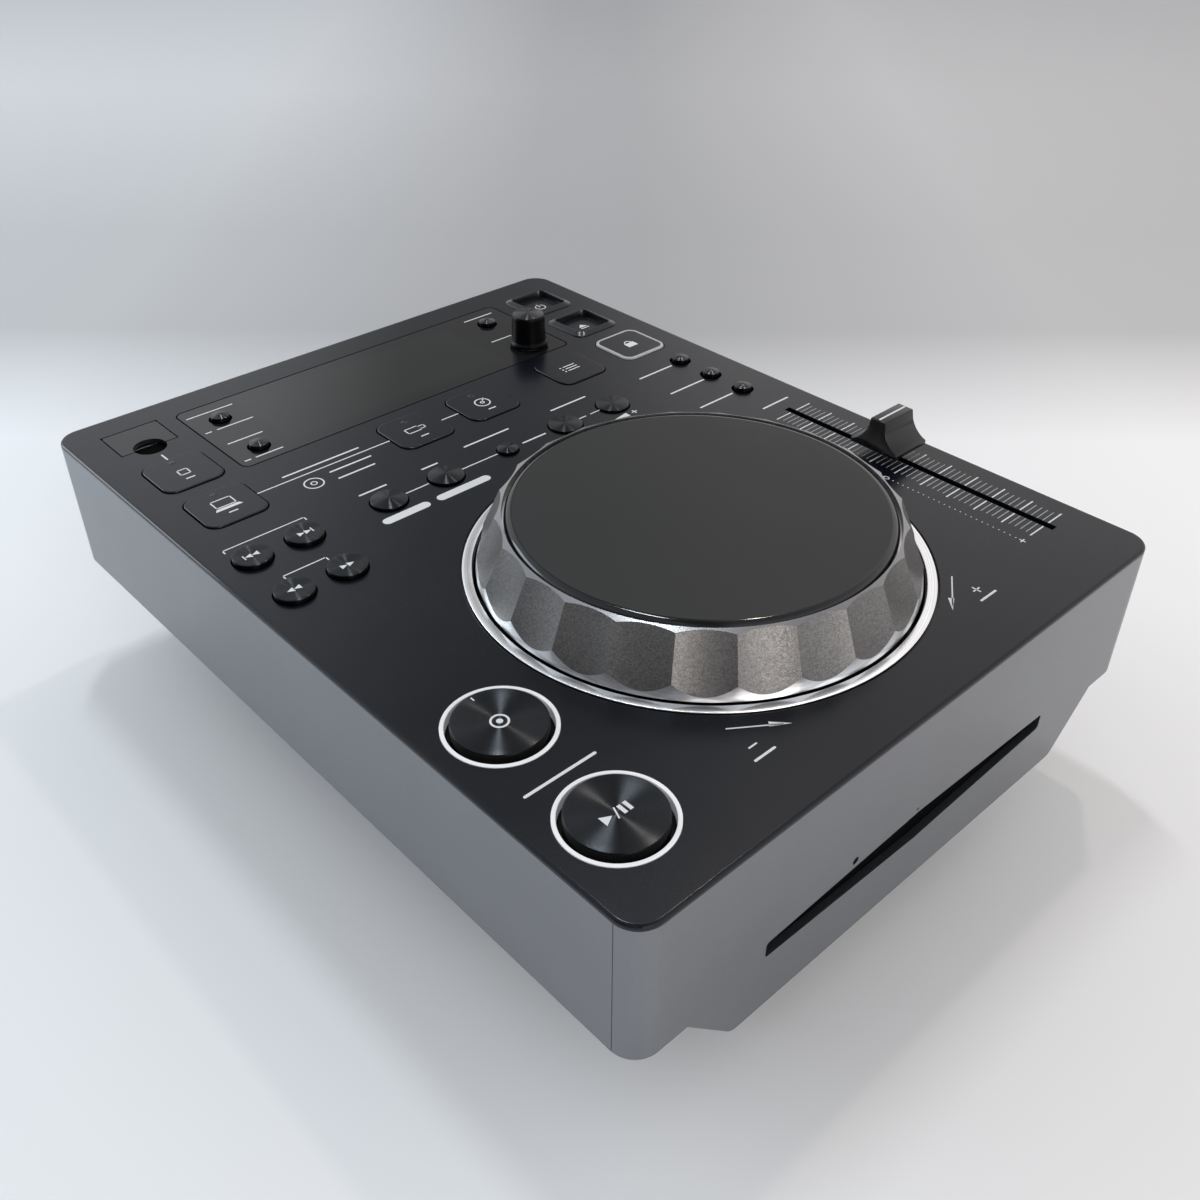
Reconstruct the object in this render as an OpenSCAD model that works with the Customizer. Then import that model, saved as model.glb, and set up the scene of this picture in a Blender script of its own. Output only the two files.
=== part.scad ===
// Tabletop disc player with a jog wheel, in millimetres.
// The origin is the middle of the bounding box's underside, on the soles of the feet.
// +X is to the right as seen from the front, +Y is to the back, +Z is up.

/* [Case] */
// Width of the case
case_w = 218.5; // [212:0.5:240]
// Depth of the deck, from the front face to the back edge
deck_d = 288.2; // [284:0.1:320]
// Height of the deck's face above the soles of the feet
deck_h = 89.7; // [88:0.1:110]
// Thickness of the deck
deck_t = 3; // [2.8:0.1:3.6]
// Radius of the case's upright corners
corner_r = 8; // [6:0.5:12]
// Thickness of the deck's lip, which lies on the walls
lip_t = 1.5; // [1.2:0.1:2]
// Rounding of the deck's top edge
deck_edge = 0.9; // [0.4:0.1:1.2]
// Wall thickness of the side shell and the front
wall_t = 2.4; // [2:0.1:2.8]
// How far the side walls reach below the deck's face
side_drop = 47; // [46:0.5:50]
// How far the front wraps back along the sides
front_wrap = 7.5; // [6:0.5:9]
// How far the chin reaches below the deck's face
chin_drop = 65.7; // [62:0.1:70]
// Half of the chin's width at its top
chin_top = 91.5; // [89:0.5:94]
// Half of the chin's width at its bottom
chin_bottom = 74.5; // [70:0.5:78]
// Rounding of the chin's lower corners
chin_edge = 5; // [3:0.5:8]
// Depth of the chin, front face to back
chin_d = 16; // [14:0.5:20]
// How far the belly reaches below the deck's face
belly_drop = 78; // [77:0.5:82]
// Half of the belly's width at its bottom
belly_half = 70; // [66:0.5:73]
// Thickness of the sheet steel of the base and the rear panel
sheet_t = 1.2; // [1:0.1:1.5]

/* [Fits] */
// Gap between two shells that meet side by side
seam = 0.2; // [0.1:0.05:0.4]
// Gap round a keycap
key_gap = 0.4; // [0.3:0.05:0.6]
// Radial clearance of a running shaft
run_fit = 0.05; // [0.02:0.01:0.1]
// Gap left under a moving piece at the end of its travel
end_gap = 0.12; // [0.08:0.01:0.2]

/* [Jog wheel] */
// Jog wheel centre, right of the middle of the case
jog_x = 1.1; // [-2:0.1:3]
// Jog wheel centre, back from the front face
jog_y = 88.1; // [86:0.1:92]
// Outer radius of the silver trim ring
trim_r = 69.6; // [69:0.1:71]
// Width of the silver trim ring
trim_w = 3.2; // [2.8:0.1:3.6]
// Thickness of the silver trim ring
trim_t = 1.1; // [0.9:0.1:1.4]
// Width of the dark groove round the trim ring
trim_groove = 0.7; // [0.2:0.1:1]
// Radius of the dial's skirt
skirt_r = 65; // [64.4:0.1:65.2]
// Height of the tops of the dial's ridges above the deck
dial_rise = 17.1; // [14:0.1:20]
// How much the dial's rim rises from the ridges to its inner edge
rim_rise = 0.7; // [0.3:0.1:0.9]
// Radius of the dial's ridges at the top
ridge_r = 59.5; // [59:0.1:61]
// Number of scallops round the dial
scallops = 24; // [16:1:32]
// Radius of the cutter that makes one scallop
scallop_r = 42; // [25:1:60]
// Depth of a scallop between two ridges
scallop_depth = 1.3; // [0.8:0.05:1.6]
// Radius of the dial's top plate
plate_r = 56.8; // [55:0.1:57.2]
// Height of the top plate above the deck
plate_rise = 18.2; // [15.5:0.1:21]
// Travel of the top plate when it is pressed
plate_travel = 0.5; // [0.3:0.1:0.8]
// Radius of the jog wheel's shaft
jog_shaft_r = 3; // [2.5:0.1:4]
// Depth of the jog wheel's cup below the deck's face
jog_cup_drop = 20; // [18:0.5:21]

/* [Large buttons] */
// Centre of the cue and play buttons, in from the left side
big_inset = 20.6; // [19.5:0.1:22]
// Cue button centre, back from the front face
cue_y = 70.2; // [68:0.1:74]
// Play button centre, back from the front face
play_y = 28; // [27:0.1:32]
// Radius of a large button's cap
big_r = 12.6; // [12:0.1:13]
// Outer radius of a large button's light ring
light_r = 15.1; // [15:0.1:15.4]
// Width of a light ring
light_w = 1.15; // [0.9:0.05:1.3]
// Height of a large cap above the deck
big_rise = 1.6; // [1:0.1:2.5]
// Travel of a large button
big_travel = 1; // [0.6:0.1:1.2]

/* [Round buttons] */
// Radius of a round button's cap
cap_r = 6.05; // [5:0.05:6.4]
// Height of a round cap above the deck
cap_rise = 1.5; // [0.8:0.1:2.5]
// Radius of a peg button
peg_r = 3.3; // [2.8:0.1:3.5]
// Height of a peg button above the deck
peg_rise = 2.3; // [1.5:0.1:3.5]
// Gap round a peg button
peg_gap = 0.8; // [0.5:0.1:1]
// Travel of every small button and key
tap_travel = 0.6; // [0.4:0.1:0.8]
// Middle of the left-hand columns, in from the left side
left_inset = 21.9; // [21:0.1:23]
// Distance between the two left-hand columns of round buttons
search_pitch = 17.8; // [16:0.1:18.6]
// Track search row, back from the front face
track_row = 176.5; // [173:0.1:180]
// Search row, back from the front face
search_row = 153.2; // [150:0.1:157]
// Loop row, back from the front face
loop_row = 175.9; // [172:0.1:179]
// Inner loop buttons, from the middle of the row
loop_near = 26; // [20:0.1:30]
// Outer loop buttons, from the middle of the row
loop_far = 48.5; // [44:0.1:52]
// Right-hand pegs and the tempo slider, in from the right side
right_inset = 16; // [15.4:0.1:17]
// First right-hand peg, back from the front face
peg_row = 153; // [152:0.1:158]
// Distance between the right-hand pegs
peg_pitch = 16; // [14:0.1:17]

/* [Keys] */
// Side of a square key
key_w = 21.4; // [20:0.1:22.6]
// Corner radius of a square key
key_r = 4.3; // [2:0.1:5]
// Height of a key above the deck
key_rise = 0.5; // [0.2:0.1:1]
// Key row, forward of the deck's back edge
key_row = 79.8; // [78:0.1:84]
// Inner keys, from the middle of the row
key_near = 14.8; // [12.5:0.1:18]
// Outer key, from the middle of the row
key_far = 56.8; // [50:0.1:60]
// Distance from the key row to the row behind it
key_pitch = 28; // [26:0.1:29]
// Right-hand keys, in from the right side
well_inset = 20.4; // [19.4:0.1:21]
// Height of the raised guards above the deck
guard_rise = 1.3; // [1:0.1:3]
// Side of the square hole in a guard
guard_hole = 16.6; // [14:0.1:18]
// Corner radius of the hole in a guard
guard_hole_r = 2.6; // [1.5:0.1:4]
// Depth of the guarded keys below the rim of their guards
guard_depth = 2.5; // [2:0.1:4]

/* [Display] */
// Middle of the window and of the rows before it, right of the middle of the case
centre_x = 0.5; // [-2:0.1:2]
// Width of the smoked window
window_w = 143; // [138:0.5:146]
// Depth of the smoked window, front edge to back edge
window_d = 49.6; // [46:0.1:52]
// Thickness of the smoked window
window_t = 1.8; // [1.4:0.1:2]
// Back edge of the window, forward of the deck's back edge
window_in = 13.4; // [12:0.1:18]
// Left-hand window pegs, in from the window's side
window_peg = 11.1; // [10:0.1:14]
// Right-hand window peg and the selector, in from the window's side
selector_in = 12.1; // [12:0.1:15]
// Front window pegs and selector, forward of the back ones
window_pitch = 26.4; // [24:0.1:28]
// The rows' middle, forward of the window's middle
window_shift = 1.5; // [0:0.1:3]
// Width of the display's glass
glass_w = 94; // [80:1:96]
// Depth of the display's glass, front edge to back edge
glass_d = 40; // [30:1:42]

/* [Selector] */
// Radius of the selector knob's body
knob_r = 6.3; // [5.8:0.1:7]
// Radius of the selector knob's foot
knob_foot_r = 7.5; // [7.1:0.1:8]
// Height of the selector knob's top edge above the deck
knob_rise = 13; // [10:0.1:18]
// Radius of the selector's shaft
selector_r = 3; // [2.5:0.1:3.2]
// Travel of the selector when it is pressed
selector_travel = 0.5; // [0.3:0.1:0.8]

/* [Tempo slider] */
// Middle of the slider's travel, back from the front face
slider_mid = 78.2; // [77:0.1:81]
// Half of the slider's travel
slider_half = 50; // [40:0.5:51]
// How far behind its middle the knob rests
slider_rest = 10; // [-20:0.5:20]
// Width of the slider's slot in the deck
slot_w = 2.7; // [1.8:0.1:3]
// Thickness of the slider's lever
lever_t = 1.2; // [0.9:0.1:1.4]
// Width of the lever along the slot
lever_w = 5; // [4:0.1:6]
// Height of the slider knob's underside above the deck
slider_gap = 4; // [1:0.1:5]
// Height of the slider knob's ridge above the deck
slider_rise = 15; // [12:0.1:18]
// Length of the slider knob at its foot, along the slot
slider_l = 18.6; // [14:0.1:20]
// Width of the slider knob across the slot
slider_w = 16.8; // [14:0.1:18]

/* [USB port] */
// Width of the flap over the port
flap_w = 19.8; // [18:0.1:21]
// Depth of the flap, hinge to front edge
flap_d = 16; // [13:0.1:17]
// Thickness of the flap
flap_t = 1.5; // [1.2:0.1:1.8]
// Back edge of the flap, forward of the deck's back edge
flap_in = 12.4; // [12:0.1:18]
// Radius of the flap's back corners
flap_r = 0.8; // [0.3:0.1:1.2]
// Gap round the flap
flap_gap = 0.5; // [0.3:0.05:0.7]
// Radius of the finger notch in front of the flap
notch_r = 5.6; // [5:0.1:7]

/* [Disc slot] */
// Width of the disc slot
disc_slot_w = 124.6; // [122:0.1:128]
// Middle of the disc slot, right of the middle of the case
disc_x = -1.7; // [-3:0.1:1]
// Depth of the disc's plane below the deck's face
disc_drop = 43; // [42:0.1:44]
// Height of the slot at its middle
slot_mid_h = 10.6; // [8:0.1:11]
// Height of the slot at its ends
slot_end_h = 5.4; // [4:0.1:6]
// Turntable centre, back from the front face
table_y = 84; // [82:0.1:86]
// Travel of the pickup
pickup_travel = 34; // [30:0.5:35]

/* [Rear] */
// How far the line output sockets stand out behind the deck
jack_reach = 8.3; // [6:0.1:10]
// Outer radius of a line output socket
jack_r = 4.15; // [4:0.05:4.3]
// Depth of the sockets' row below the deck's face
jack_drop = 40; // [38:0.5:42]

/* [Feet and screws] */
// Radius of a foot at its sole
foot_r = 11; // [9:0.1:13]
// Feet, from the middle of the case
foot_x = 54; // [45:0.5:56]
// Feet, in from the front face and the back edge
foot_in = 36; // [34:0.5:45]
// Radius of a case screw's thread
screw_r = 1.5; // [1.2:0.05:1.75]
// Radius of a case screw's head
head_r = 2.75; // [2.4:0.05:3]
// Height of a case screw's head
head_h = 1.8; // [1.4:0.1:2.2]

/* [Hidden] */
$fn = 48;

// Colours
graphite = [0.20, 0.21, 0.23];
case_grey = [0.42, 0.43, 0.46];
gloss_black = [0.06, 0.06, 0.07];
silver = [0.78, 0.78, 0.80];
gunmetal = [0.50, 0.49, 0.49];
white_lens = [0.92, 0.92, 0.92];
steel = [0.66, 0.67, 0.69];
board_green = [0.10, 0.32, 0.20];
rubber_black = [0.09, 0.09, 0.09];

// Places are given from the case's edges and from the deck's face
front_y = -(deck_d + jack_reach) / 2;
back_y = front_y + deck_d;
function front(y) = front_y + y;
function back(y) = back_y - y;
function left(x) = x - case_w / 2;
function right(x) = case_w / 2 - x;
function down(drop) = deck_h - drop;
function up(rise) = deck_h + rise;

// Small sizes that go with standard parts
eps = 0.01;
board_t = 1.6;
board_gap = 9;
board_drop = deck_t + board_gap;
switch_w = 6;
switch_h = 3.4;
plunger_r = 1.7;
plunger_h = 0.9;
flange_t = 1;
flange_w = 0.9;
stem_r = 2.4;
post_r = 3.1;
post_inset = 5.95;
board_post_r = 2.4;
thread_core = screw_r - 0.25;
pilot_r = thread_core;
hole_r = screw_r + 0.2;
tab_t = 1.4;
ear_t = 2.2;
ear_r = 3.6;
nut_h = 2.4;
pocket_floor = 1;
deck_under = down(deck_t);
floor_z = down(side_drop);
belly_z = down(belly_drop);

// Each button: [name, x, y, kind]. Kinds: big, cap, cone, disc, small, peg, key, guarded
row_x = centre_x;
win_x = centre_x;
win_y = back(window_in + window_d / 2);
win_back_row = win_y - window_shift + window_pitch / 2;
win_front_row = win_back_row - window_pitch;
peg_x = win_x - window_w / 2 + window_peg;
selector_x = win_x + window_w / 2 - selector_in;
encoder_half = 6;
// The display's glass lies midway between the pegs' flanges and the selector's encoder
glass_x = (peg_x + peg_r + peg_gap + flange_w + selector_x - encoder_half) / 2;
key_y = back(key_row);
key_back_y = key_y + key_pitch;
guard_shift = 0.6;
guard_back_y = key_back_y + key_pitch - guard_shift;
BUTTONS = [
    ["cue_button", left(big_inset), front(cue_y), "big"],
    ["play_button", left(big_inset), front(play_y), "big"],
    ["track_back_button", left(left_inset) - search_pitch / 2, front(track_row), "cap"],
    ["track_next_button", left(left_inset) + search_pitch / 2, front(track_row), "cap"],
    ["search_back_button", left(left_inset) - search_pitch / 2, front(search_row), "cap"],
    ["search_next_button", left(left_inset) + search_pitch / 2, front(search_row), "cap"],
    ["loop_in_button", row_x - loop_far, front(loop_row), "cone"],
    ["loop_out_button", row_x - loop_near, front(loop_row), "cone"],
    ["reloop_button", row_x, front(loop_row), "small"],
    ["beat_less_button", row_x + loop_near, front(loop_row), "disc"],
    ["beat_more_button", row_x + loop_far, front(loop_row), "disc"],
    ["time_button", peg_x, win_back_row, "peg"],
    ["menu_button", peg_x, win_front_row, "peg"],
    ["return_button", selector_x, win_back_row, "peg"],
    ["vinyl_button", right(right_inset), front(peg_row + 2 * peg_pitch), "peg"],
    ["range_button", right(right_inset), front(peg_row + peg_pitch), "peg"],
    ["tempo_reset_button", right(right_inset), front(peg_row), "peg"],
    ["usb_stop_key", left(left_inset), key_back_y, "key"],
    ["laptop_key", left(left_inset), key_y, "key"],
    ["memory_key", row_x - key_near, key_y, "key"],
    ["disc_key", row_x + key_near, key_y, "key"],
    ["list_key", row_x + key_far, key_y, "key"],
    ["lock_key", right(well_inset), key_y, "key"],
    ["power_key", right(well_inset), guard_back_y, "guarded"],
    ["eject_key", right(well_inset), key_back_y, "guarded"]
];
function travel(kind) = kind == "big" ? big_travel : tap_travel;
function is_square(kind) = kind == "key" || kind == "guarded";
function cap_size(kind) =
    kind == "big" ? big_r :
    kind == "small" ? cap_r - 2.4 :
    kind == "peg" ? peg_r :
    kind == "key" ? key_w :
    kind == "guarded" ? guard_hole - 2 * key_gap : cap_r;
function hole_size(kind) =
    kind == "big" ? light_r - light_w :
    kind == "peg" ? peg_r + peg_gap :
    kind == "key" ? key_w + 2 * key_gap :
    kind == "guarded" ? key_w - 1.2 : cap_size(kind) + key_gap;
function is_window_peg(b) = b[3] == "peg" && abs(b[1] - win_x) < window_w / 2;
selector_at = [selector_x, win_front_row];

// Shared shapes

// The arc that rounds the corner at b, between the edges to a and c
function unit(v) = v / norm(v);
function corner_arc(a, b, c, r, steps = 6) = let (
    u = unit(a - b),
    v = unit(c - b),
    half = acos(u * v) / 2,
    centre = b + unit(u + v) * r / sin(half),
    first = b + u * r / tan(half) - centre,
    last = b + v * r / tan(half) - centre,
    start = atan2(first[1], first[0]),
    sweep = (atan2(last[1], last[0]) - start + 540) % 360 - 180
) [for (i = [0:steps]) centre + r * [cos(start + sweep * i / steps), sin(start + sweep * i / steps)]];

// A polygon's points with a radius at each corner, 0 for a sharp one
function rounded(points, radii) = let (n = len(points)) [
    for (i = [0:n - 1])
        each radii[i] > 0 ?
            corner_arc(points[(i + n - 1) % n], points[i], points[(i + 1) % n], radii[i]) : [points[i]]
];

// How much wider a sloped wall is when it is measured level
function slant(run, rise) = norm([run, rise]) / rise;

// A rectangle with round corners, from its centre
module round_rect(w, d, r) {
    square([w - 2 * r, d], center = true);
    square([w, d - 2 * r], center = true);
    for (sx = [-1, 1], sy = [-1, 1])
        translate([sx * (w / 2 - r), sy * (d / 2 - r)]) circle(r);
}

// A plate with round corners, from its underside
module round_plate(w, d, r, h) {
    linear_extrude(h) round_rect(w, d, r);
}

// A plate with round corners and a softened top edge, rounded in steps
module soft_plate(w, d, r, h, edge, steps = 1) {
    hull() for (i = [0:steps]) {
        inset = edge * (1 - cos(90 * i / steps));
        round_plate(w - 2 * inset, d - 2 * inset, r - inset, h - edge * (1 - sin(90 * i / steps)));
    }
}

// A box from its lowest corner, between two heights
module slab(x0, x1, y0, y1, z0, z1) {
    translate([x0, y0, z0]) cube([x1 - x0, y1 - y0, z1 - z0]);
}

// The outline of the case seen from above, drawn in by a margin
module case_outline(margin) {
    translate([0, (front_y + back_y) / 2])
        round_rect(case_w - 2 * margin, deck_d - 2 * margin, corner_r - margin);
}

// The chin's outline seen from the front, drawn in by a margin
chin_run = chin_top - chin_bottom;
chin_fall = chin_drop - side_drop;
function chin_half(margin, drop) =
    chin_bottom - margin * slant(chin_run, chin_fall) + (chin_drop - drop) * chin_run / chin_fall;

module chin_outline(margin) {
    low = chin_drop - margin;
    radius = chin_edge - margin;
    polygon(rounded([
        [-chin_half(margin, side_drop) - radius, -side_drop + eps],
        [-chin_half(margin, side_drop), -side_drop],
        [-chin_half(margin, low), -low],
        [chin_half(margin, low), -low],
        [chin_half(margin, side_drop), -side_drop],
        [chin_half(margin, side_drop) + radius, -side_drop + eps]
    ], [0, 0, radius, radius, 0, 0]));
}

// The belly's outline seen from the front, drawn in by a margin
belly_run = chin_bottom - belly_half;
belly_fall = belly_drop - chin_drop;

module belly_outline(margin) {
    low = belly_drop - margin;
    bottom = belly_half - margin * slant(belly_run, belly_fall) + margin * belly_run / belly_fall;
    middle = chin_bottom - margin * slant(belly_run, belly_fall);
    top = chin_half(margin, side_drop);
    polygon([
        [-top, -side_drop], [-middle, -chin_drop], [-bottom, -low],
        [bottom, -low], [middle, -chin_drop], [top, -side_drop]
    ]);
}

// An outline seen from the front, made solid between two depths
module along_y(y0, y1) {
    translate([0, y1, deck_h]) rotate([90, 0, 0]) linear_extrude(y1 - y0) children();
}

// Case

// Where the case screws go up into the deck's posts
post_front = 12;
post_middle = 140;
post_back = 8.5;
POSTS = [
    for (sx = [-1, 1], y = [front(post_front), front(post_middle), back(post_back)])
        [sx * (case_w / 2 - post_inset), y]
];

// Where short posts carry the control board
board_post_back = 7;
board_post_mid = 164;
BOARD_POSTS = [
    [left(46), front(22)], [left(34), back(board_post_back)], [row_x, back(board_post_back)],
    [right(34), back(board_post_back)], [left(52), front(board_post_mid)], [right(44), front(board_post_mid)],
    [row_x - 37, key_y], [row_x + 36, key_y]
];

// The ears of the jog wheel's cup, and those of the slider's housing
JOG_EARS = [for (a = [45:90:315]) [jog_x, front(jog_y)] + (trim_r + 6) * [cos(a), sin(a)]];
SLIDER_EARS = [for (s = [-1, 1]) [right(right_inset), front(slider_mid + s * (slider_half + 12))]];

// What reaches from a post into the wall, kept within the middle of the wall round the corners
module wall_reach() {
    linear_extrude(tab_t) intersection() {
        case_outline(wall_t / 2);
        children();
    }
}

// A tab from a shell's wall, clamped under the deck's post by the screw
module post_tab(p, y_wall) {
    x_wall = sign(p[0]) * case_w / 2;
    translate([0, 0, floor_z + sheet_t]) difference() {
        union() {
            translate([p[0], p[1], 0]) cylinder(h = tab_t, r = post_r + 0.4);
            wall_reach() {
                translate([min(p[0], x_wall), p[1] - 3]) square([abs(x_wall - p[0]), 6]);
                translate([p[0] - 3, min(p[1], y_wall)]) square([6, abs(y_wall - p[1])]);
            }
        }
        translate([p[0], p[1], -1]) cylinder(h = tab_t + 2, r = hole_r);
    }
}

module button_hole(b, depth) {
    size = hole_size(b[3]);
    translate([b[1], b[2], -depth])
        if (is_square(b[3])) round_plate(size, size, key_r + key_gap, 2 * depth);
        else cylinder(h = 2 * depth, r = size);
}

// The pocket under the USB flap, its finger notch and the hole over the socket
flap_x = left(left_inset);
hinge_y = back(flap_in) - 0.7;
hinge_z = down(flap_t / 2 + 0.1);
pin_r = 0.5;
port_y = back(flap_in + flap_d / 2);
port_w = 14.4;
port_d = 7.2;

// The flap's outline, grown by a gap, with its back corners rounded
module flap_outline(gap, r, h) {
    half = flap_w / 2 + gap;
    translate([flap_x, 0, 0]) hull() {
        for (s = [-1, 1]) translate([s * (half - r), back(flap_in) + gap - r, 0]) cylinder(h = h, r = r);
        slab(-half, half, back(flap_in + flap_d) - gap, back(flap_in + flap_d) + 1, 0, h);
    }
}

module flap_opening() {
    pocket_z = deck_under + pocket_floor;
    notch_y = back(flap_in + flap_d);
    translate([0, 0, pocket_z]) flap_outline(flap_gap, 0.2, deck_t);
    translate([flap_x, notch_y, pocket_z]) cylinder(h = deck_t, r = notch_r);
    slab(flap_x - port_w / 2 - seam, flap_x + port_w / 2 + seam,
        port_y - port_d / 2 - seam, port_y + port_d / 2 + seam, down(deck_t + 1), up(1));
    // The hinge pin's holes
    translate([flap_x, hinge_y, hinge_z])
        rotate([0, 90, 0]) cylinder(h = flap_w + 3, r = pin_r + run_fit, center = true);
}

module top_panel() color(graphite) {
    difference() {
        union() {
            translate([0, (front_y + back_y) / 2, down(lip_t)])
                soft_plate(case_w, deck_d, corner_r, lip_t, deck_edge, 3);
            translate([0, 0, deck_under])
                linear_extrude(deck_t - lip_t + eps) case_outline(wall_t + seam);
            for (p = POSTS)
                translate([p[0], p[1], floor_z + sheet_t + tab_t])
                    cylinder(h = side_drop - deck_t - sheet_t - tab_t, r = post_r);
            for (p = BOARD_POSTS)
                translate([p[0], p[1], down(board_drop)]) cylinder(h = board_gap, r = board_post_r);
        }
        // The jog wheel's opening and the seat of its trim ring
        translate([jog_x, front(jog_y), down(deck_t + 1)])
            cylinder(h = deck_t + 2, r = trim_r - trim_w, $fn = 96);
        translate([jog_x, front(jog_y), down(trim_t)])
            cylinder(h = trim_t + 1, r = trim_r + trim_groove, $fn = 96);
        // Buttons and keys, and the seats of the two light rings
        for (b = BUTTONS) translate([0, 0, deck_h]) button_hole(b, deck_t + 1);
        for (y = [cue_y, play_y])
            translate([left(big_inset), front(y), down(deck_t + 1)])
                cylinder(h = deck_t + 2, r = light_r + seam);
        // The window's recess, and the opening under it for the display
        translate([win_x, win_y, down(window_t)])
            round_plate(window_w + 2 * seam, window_d + 2 * seam, 3 + seam, window_t + 1);
        translate([glass_x, win_y, down(deck_t + 1)]) round_plate(glass_w - 4, glass_d - 4, 2, deck_t + 2);
        translate([selector_at[0], selector_at[1], down(deck_t + 1)])
            cylinder(h = deck_t + 2, r = selector_r + 2.5);
        // The tempo slider's slot
        slot_reach = slider_half + lever_w / 2 + 1;
        slab(right(right_inset) - slot_w / 2, right(right_inset) + slot_w / 2,
            front(slider_mid - slot_reach), front(slider_mid + slot_reach), down(deck_t + 1), up(1));
        flap_opening();
        // Pilot holes for the screws
        for (p = POSTS) translate([p[0], p[1], floor_z]) cylinder(h = 14, r = pilot_r);
        for (p = BOARD_POSTS) translate([p[0], p[1], down(board_drop + 1)]) cylinder(h = 8, r = pilot_r);
        for (p = concat(JOG_EARS, SLIDER_EARS))
            translate([p[0], p[1], deck_under - 1]) cylinder(h = deck_t - 0.4, r = pilot_r);
    }
}

module side_shell() color(case_grey) {
    for (p = POSTS) if (p[1] > front(50)) post_tab(p, p[1] > front(200) ? back(0) : p[1] + 1);
    difference() {
        translate([0, 0, floor_z]) linear_extrude(side_drop - lip_t) difference() {
            case_outline(0);
            case_outline(wall_t);
        }
        slab(-case_w, case_w, front(-1), front(front_wrap), floor_z - 1, deck_h);
        // The rear window, open at the bottom
        slab(-rear_half + 3, rear_half - 3, back(wall_t + 1), back(-1), floor_z - 1, down(rear_top + 3));
    }
}

// The outline of the disc slot, seen from the front
module slot_outline() {
    polygon(rounded([
        [-disc_slot_w / 2, -slot_end_h / 2], [0, -slot_mid_h / 2], [disc_slot_w / 2, -slot_end_h / 2],
        [disc_slot_w / 2, slot_end_h / 2], [0, slot_mid_h / 2], [-disc_slot_w / 2, slot_end_h / 2]
    ], [1, 0, 1, 1, 0, 1]));
}

// A tab from the back of the front wall, clamped under the deck's front post
module fascia_tab(p) {
    translate([0, 0, floor_z + sheet_t]) difference() {
        union() {
            translate([p[0], p[1], 0]) cylinder(h = tab_t, r = post_r + 0.4);
            wall_reach() translate([p[0] - 3, front(0)]) square([6, p[1] - front(0)]);
        }
        translate([p[0], p[1], -1]) cylinder(h = tab_t + 2, r = hole_r);
    }
}

module front_fascia() color(case_grey) {
    for (p = POSTS) if (p[1] < front(50)) fascia_tab(p);
    difference() {
        union() {
            intersection() {
                translate([0, 0, floor_z]) linear_extrude(side_drop - lip_t) case_outline(0);
                slab(-case_w, case_w, front(-1), front(front_wrap - seam), 0, deck_h);
            }
            along_y(front(0), front(chin_d)) chin_outline(0);
        }
        // The hollow behind the face, and the chin's hollow
        intersection() {
            translate([0, 0, floor_z - 1]) linear_extrude(side_drop) case_outline(wall_t);
            slab(-case_w, case_w, front(wall_t), front(chin_d), 0, deck_h);
        }
        along_y(front(wall_t), front(chin_d + 1)) chin_outline(wall_t);
        // The disc slot, the forced eject hole and the power lamp's pinhole
        translate([disc_x, 0, -disc_drop]) along_y(front(-1), front(wall_t + 1)) slot_outline();
        translate([disc_x - 28, front(-1), down(disc_drop - 6.7)])
            rotate([-90, 0, 0]) cylinder(h = wall_t + 2, r = 1.2);
        translate([disc_x - 1, front(-1), down(disc_drop - 6.8)])
            rotate([-90, 0, 0]) cylinder(h = wall_t + 2, r = 0.5);
    }
}

// Rear panel: half width, and its top below the deck's face
rear_half = 88;
rear_top = 12;
rear_face = back(wall_t);

module rear_outline() {
    translate([-rear_half, -side_drop]) square([2 * rear_half, side_drop - rear_top]);
    belly_outline(0);
}

module rear_panel() color(graphite) {
    difference() {
        along_y(rear_face - sheet_t, rear_face) rear_outline();
        for (x = RCA_X) rear_pin(x, -3, 5, 5.2);
        rear_pin(control_x, -3, 5, 4.2);
        rear_window(usb_b_x, 6.4, 6);
        rear_window(inlet_x, 11.3, 8);
        for (p = PANEL_SCREWS)
            translate([p[0], rear_face - 3, p[1]]) rotate([-90, 0, 0]) cylinder(h = 5, r = hole_r);
        // The security lock's slot
        translate([-20, rear_face - 3, down(jack_drop)])
            rotate([-90, 0, 0]) linear_extrude(5) round_rect(7, 3, 1.4);
    }
}

module rear_window(x, half_w, half_h) {
    slab(x - half_w, x + half_w, rear_face - 3, rear_face + 1,
        down(jack_drop + half_h), down(jack_drop - half_h));
}

// Standoffs inside the belly: for the drive, and for the boards behind it
drive_z = down(62);
drive_half = 68;
sled_y = table_y + 25;
sled_half = 7;
drive_back = sled_y + pickup_travel + sled_half + 12;
DRIVE_POSTS = [
    for (sx = [-1, 1], y = [table_y - 24, drive_back - 12]) [disc_x + sx * (drive_half - 10), front(y)]
];
board_z = down(52) - board_t;
rear_board_y = front(drive_back) + 16.2;
rear_post_in = 6;
power_in = 24;
REAR_POSTS = [
    for (x = [-62, -18, 4, 62], y = [rear_board_y + rear_post_in, back(power_in + rear_post_in)]) [x, y]
];
PANEL_SCREWS = [for (x = [-60, 60]) [x, belly_z + sheet_t + 4]];
FEET = [for (sx = [-1, 1], y = [front(foot_in), back(foot_in)]) [sx * foot_x, y]];

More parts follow.
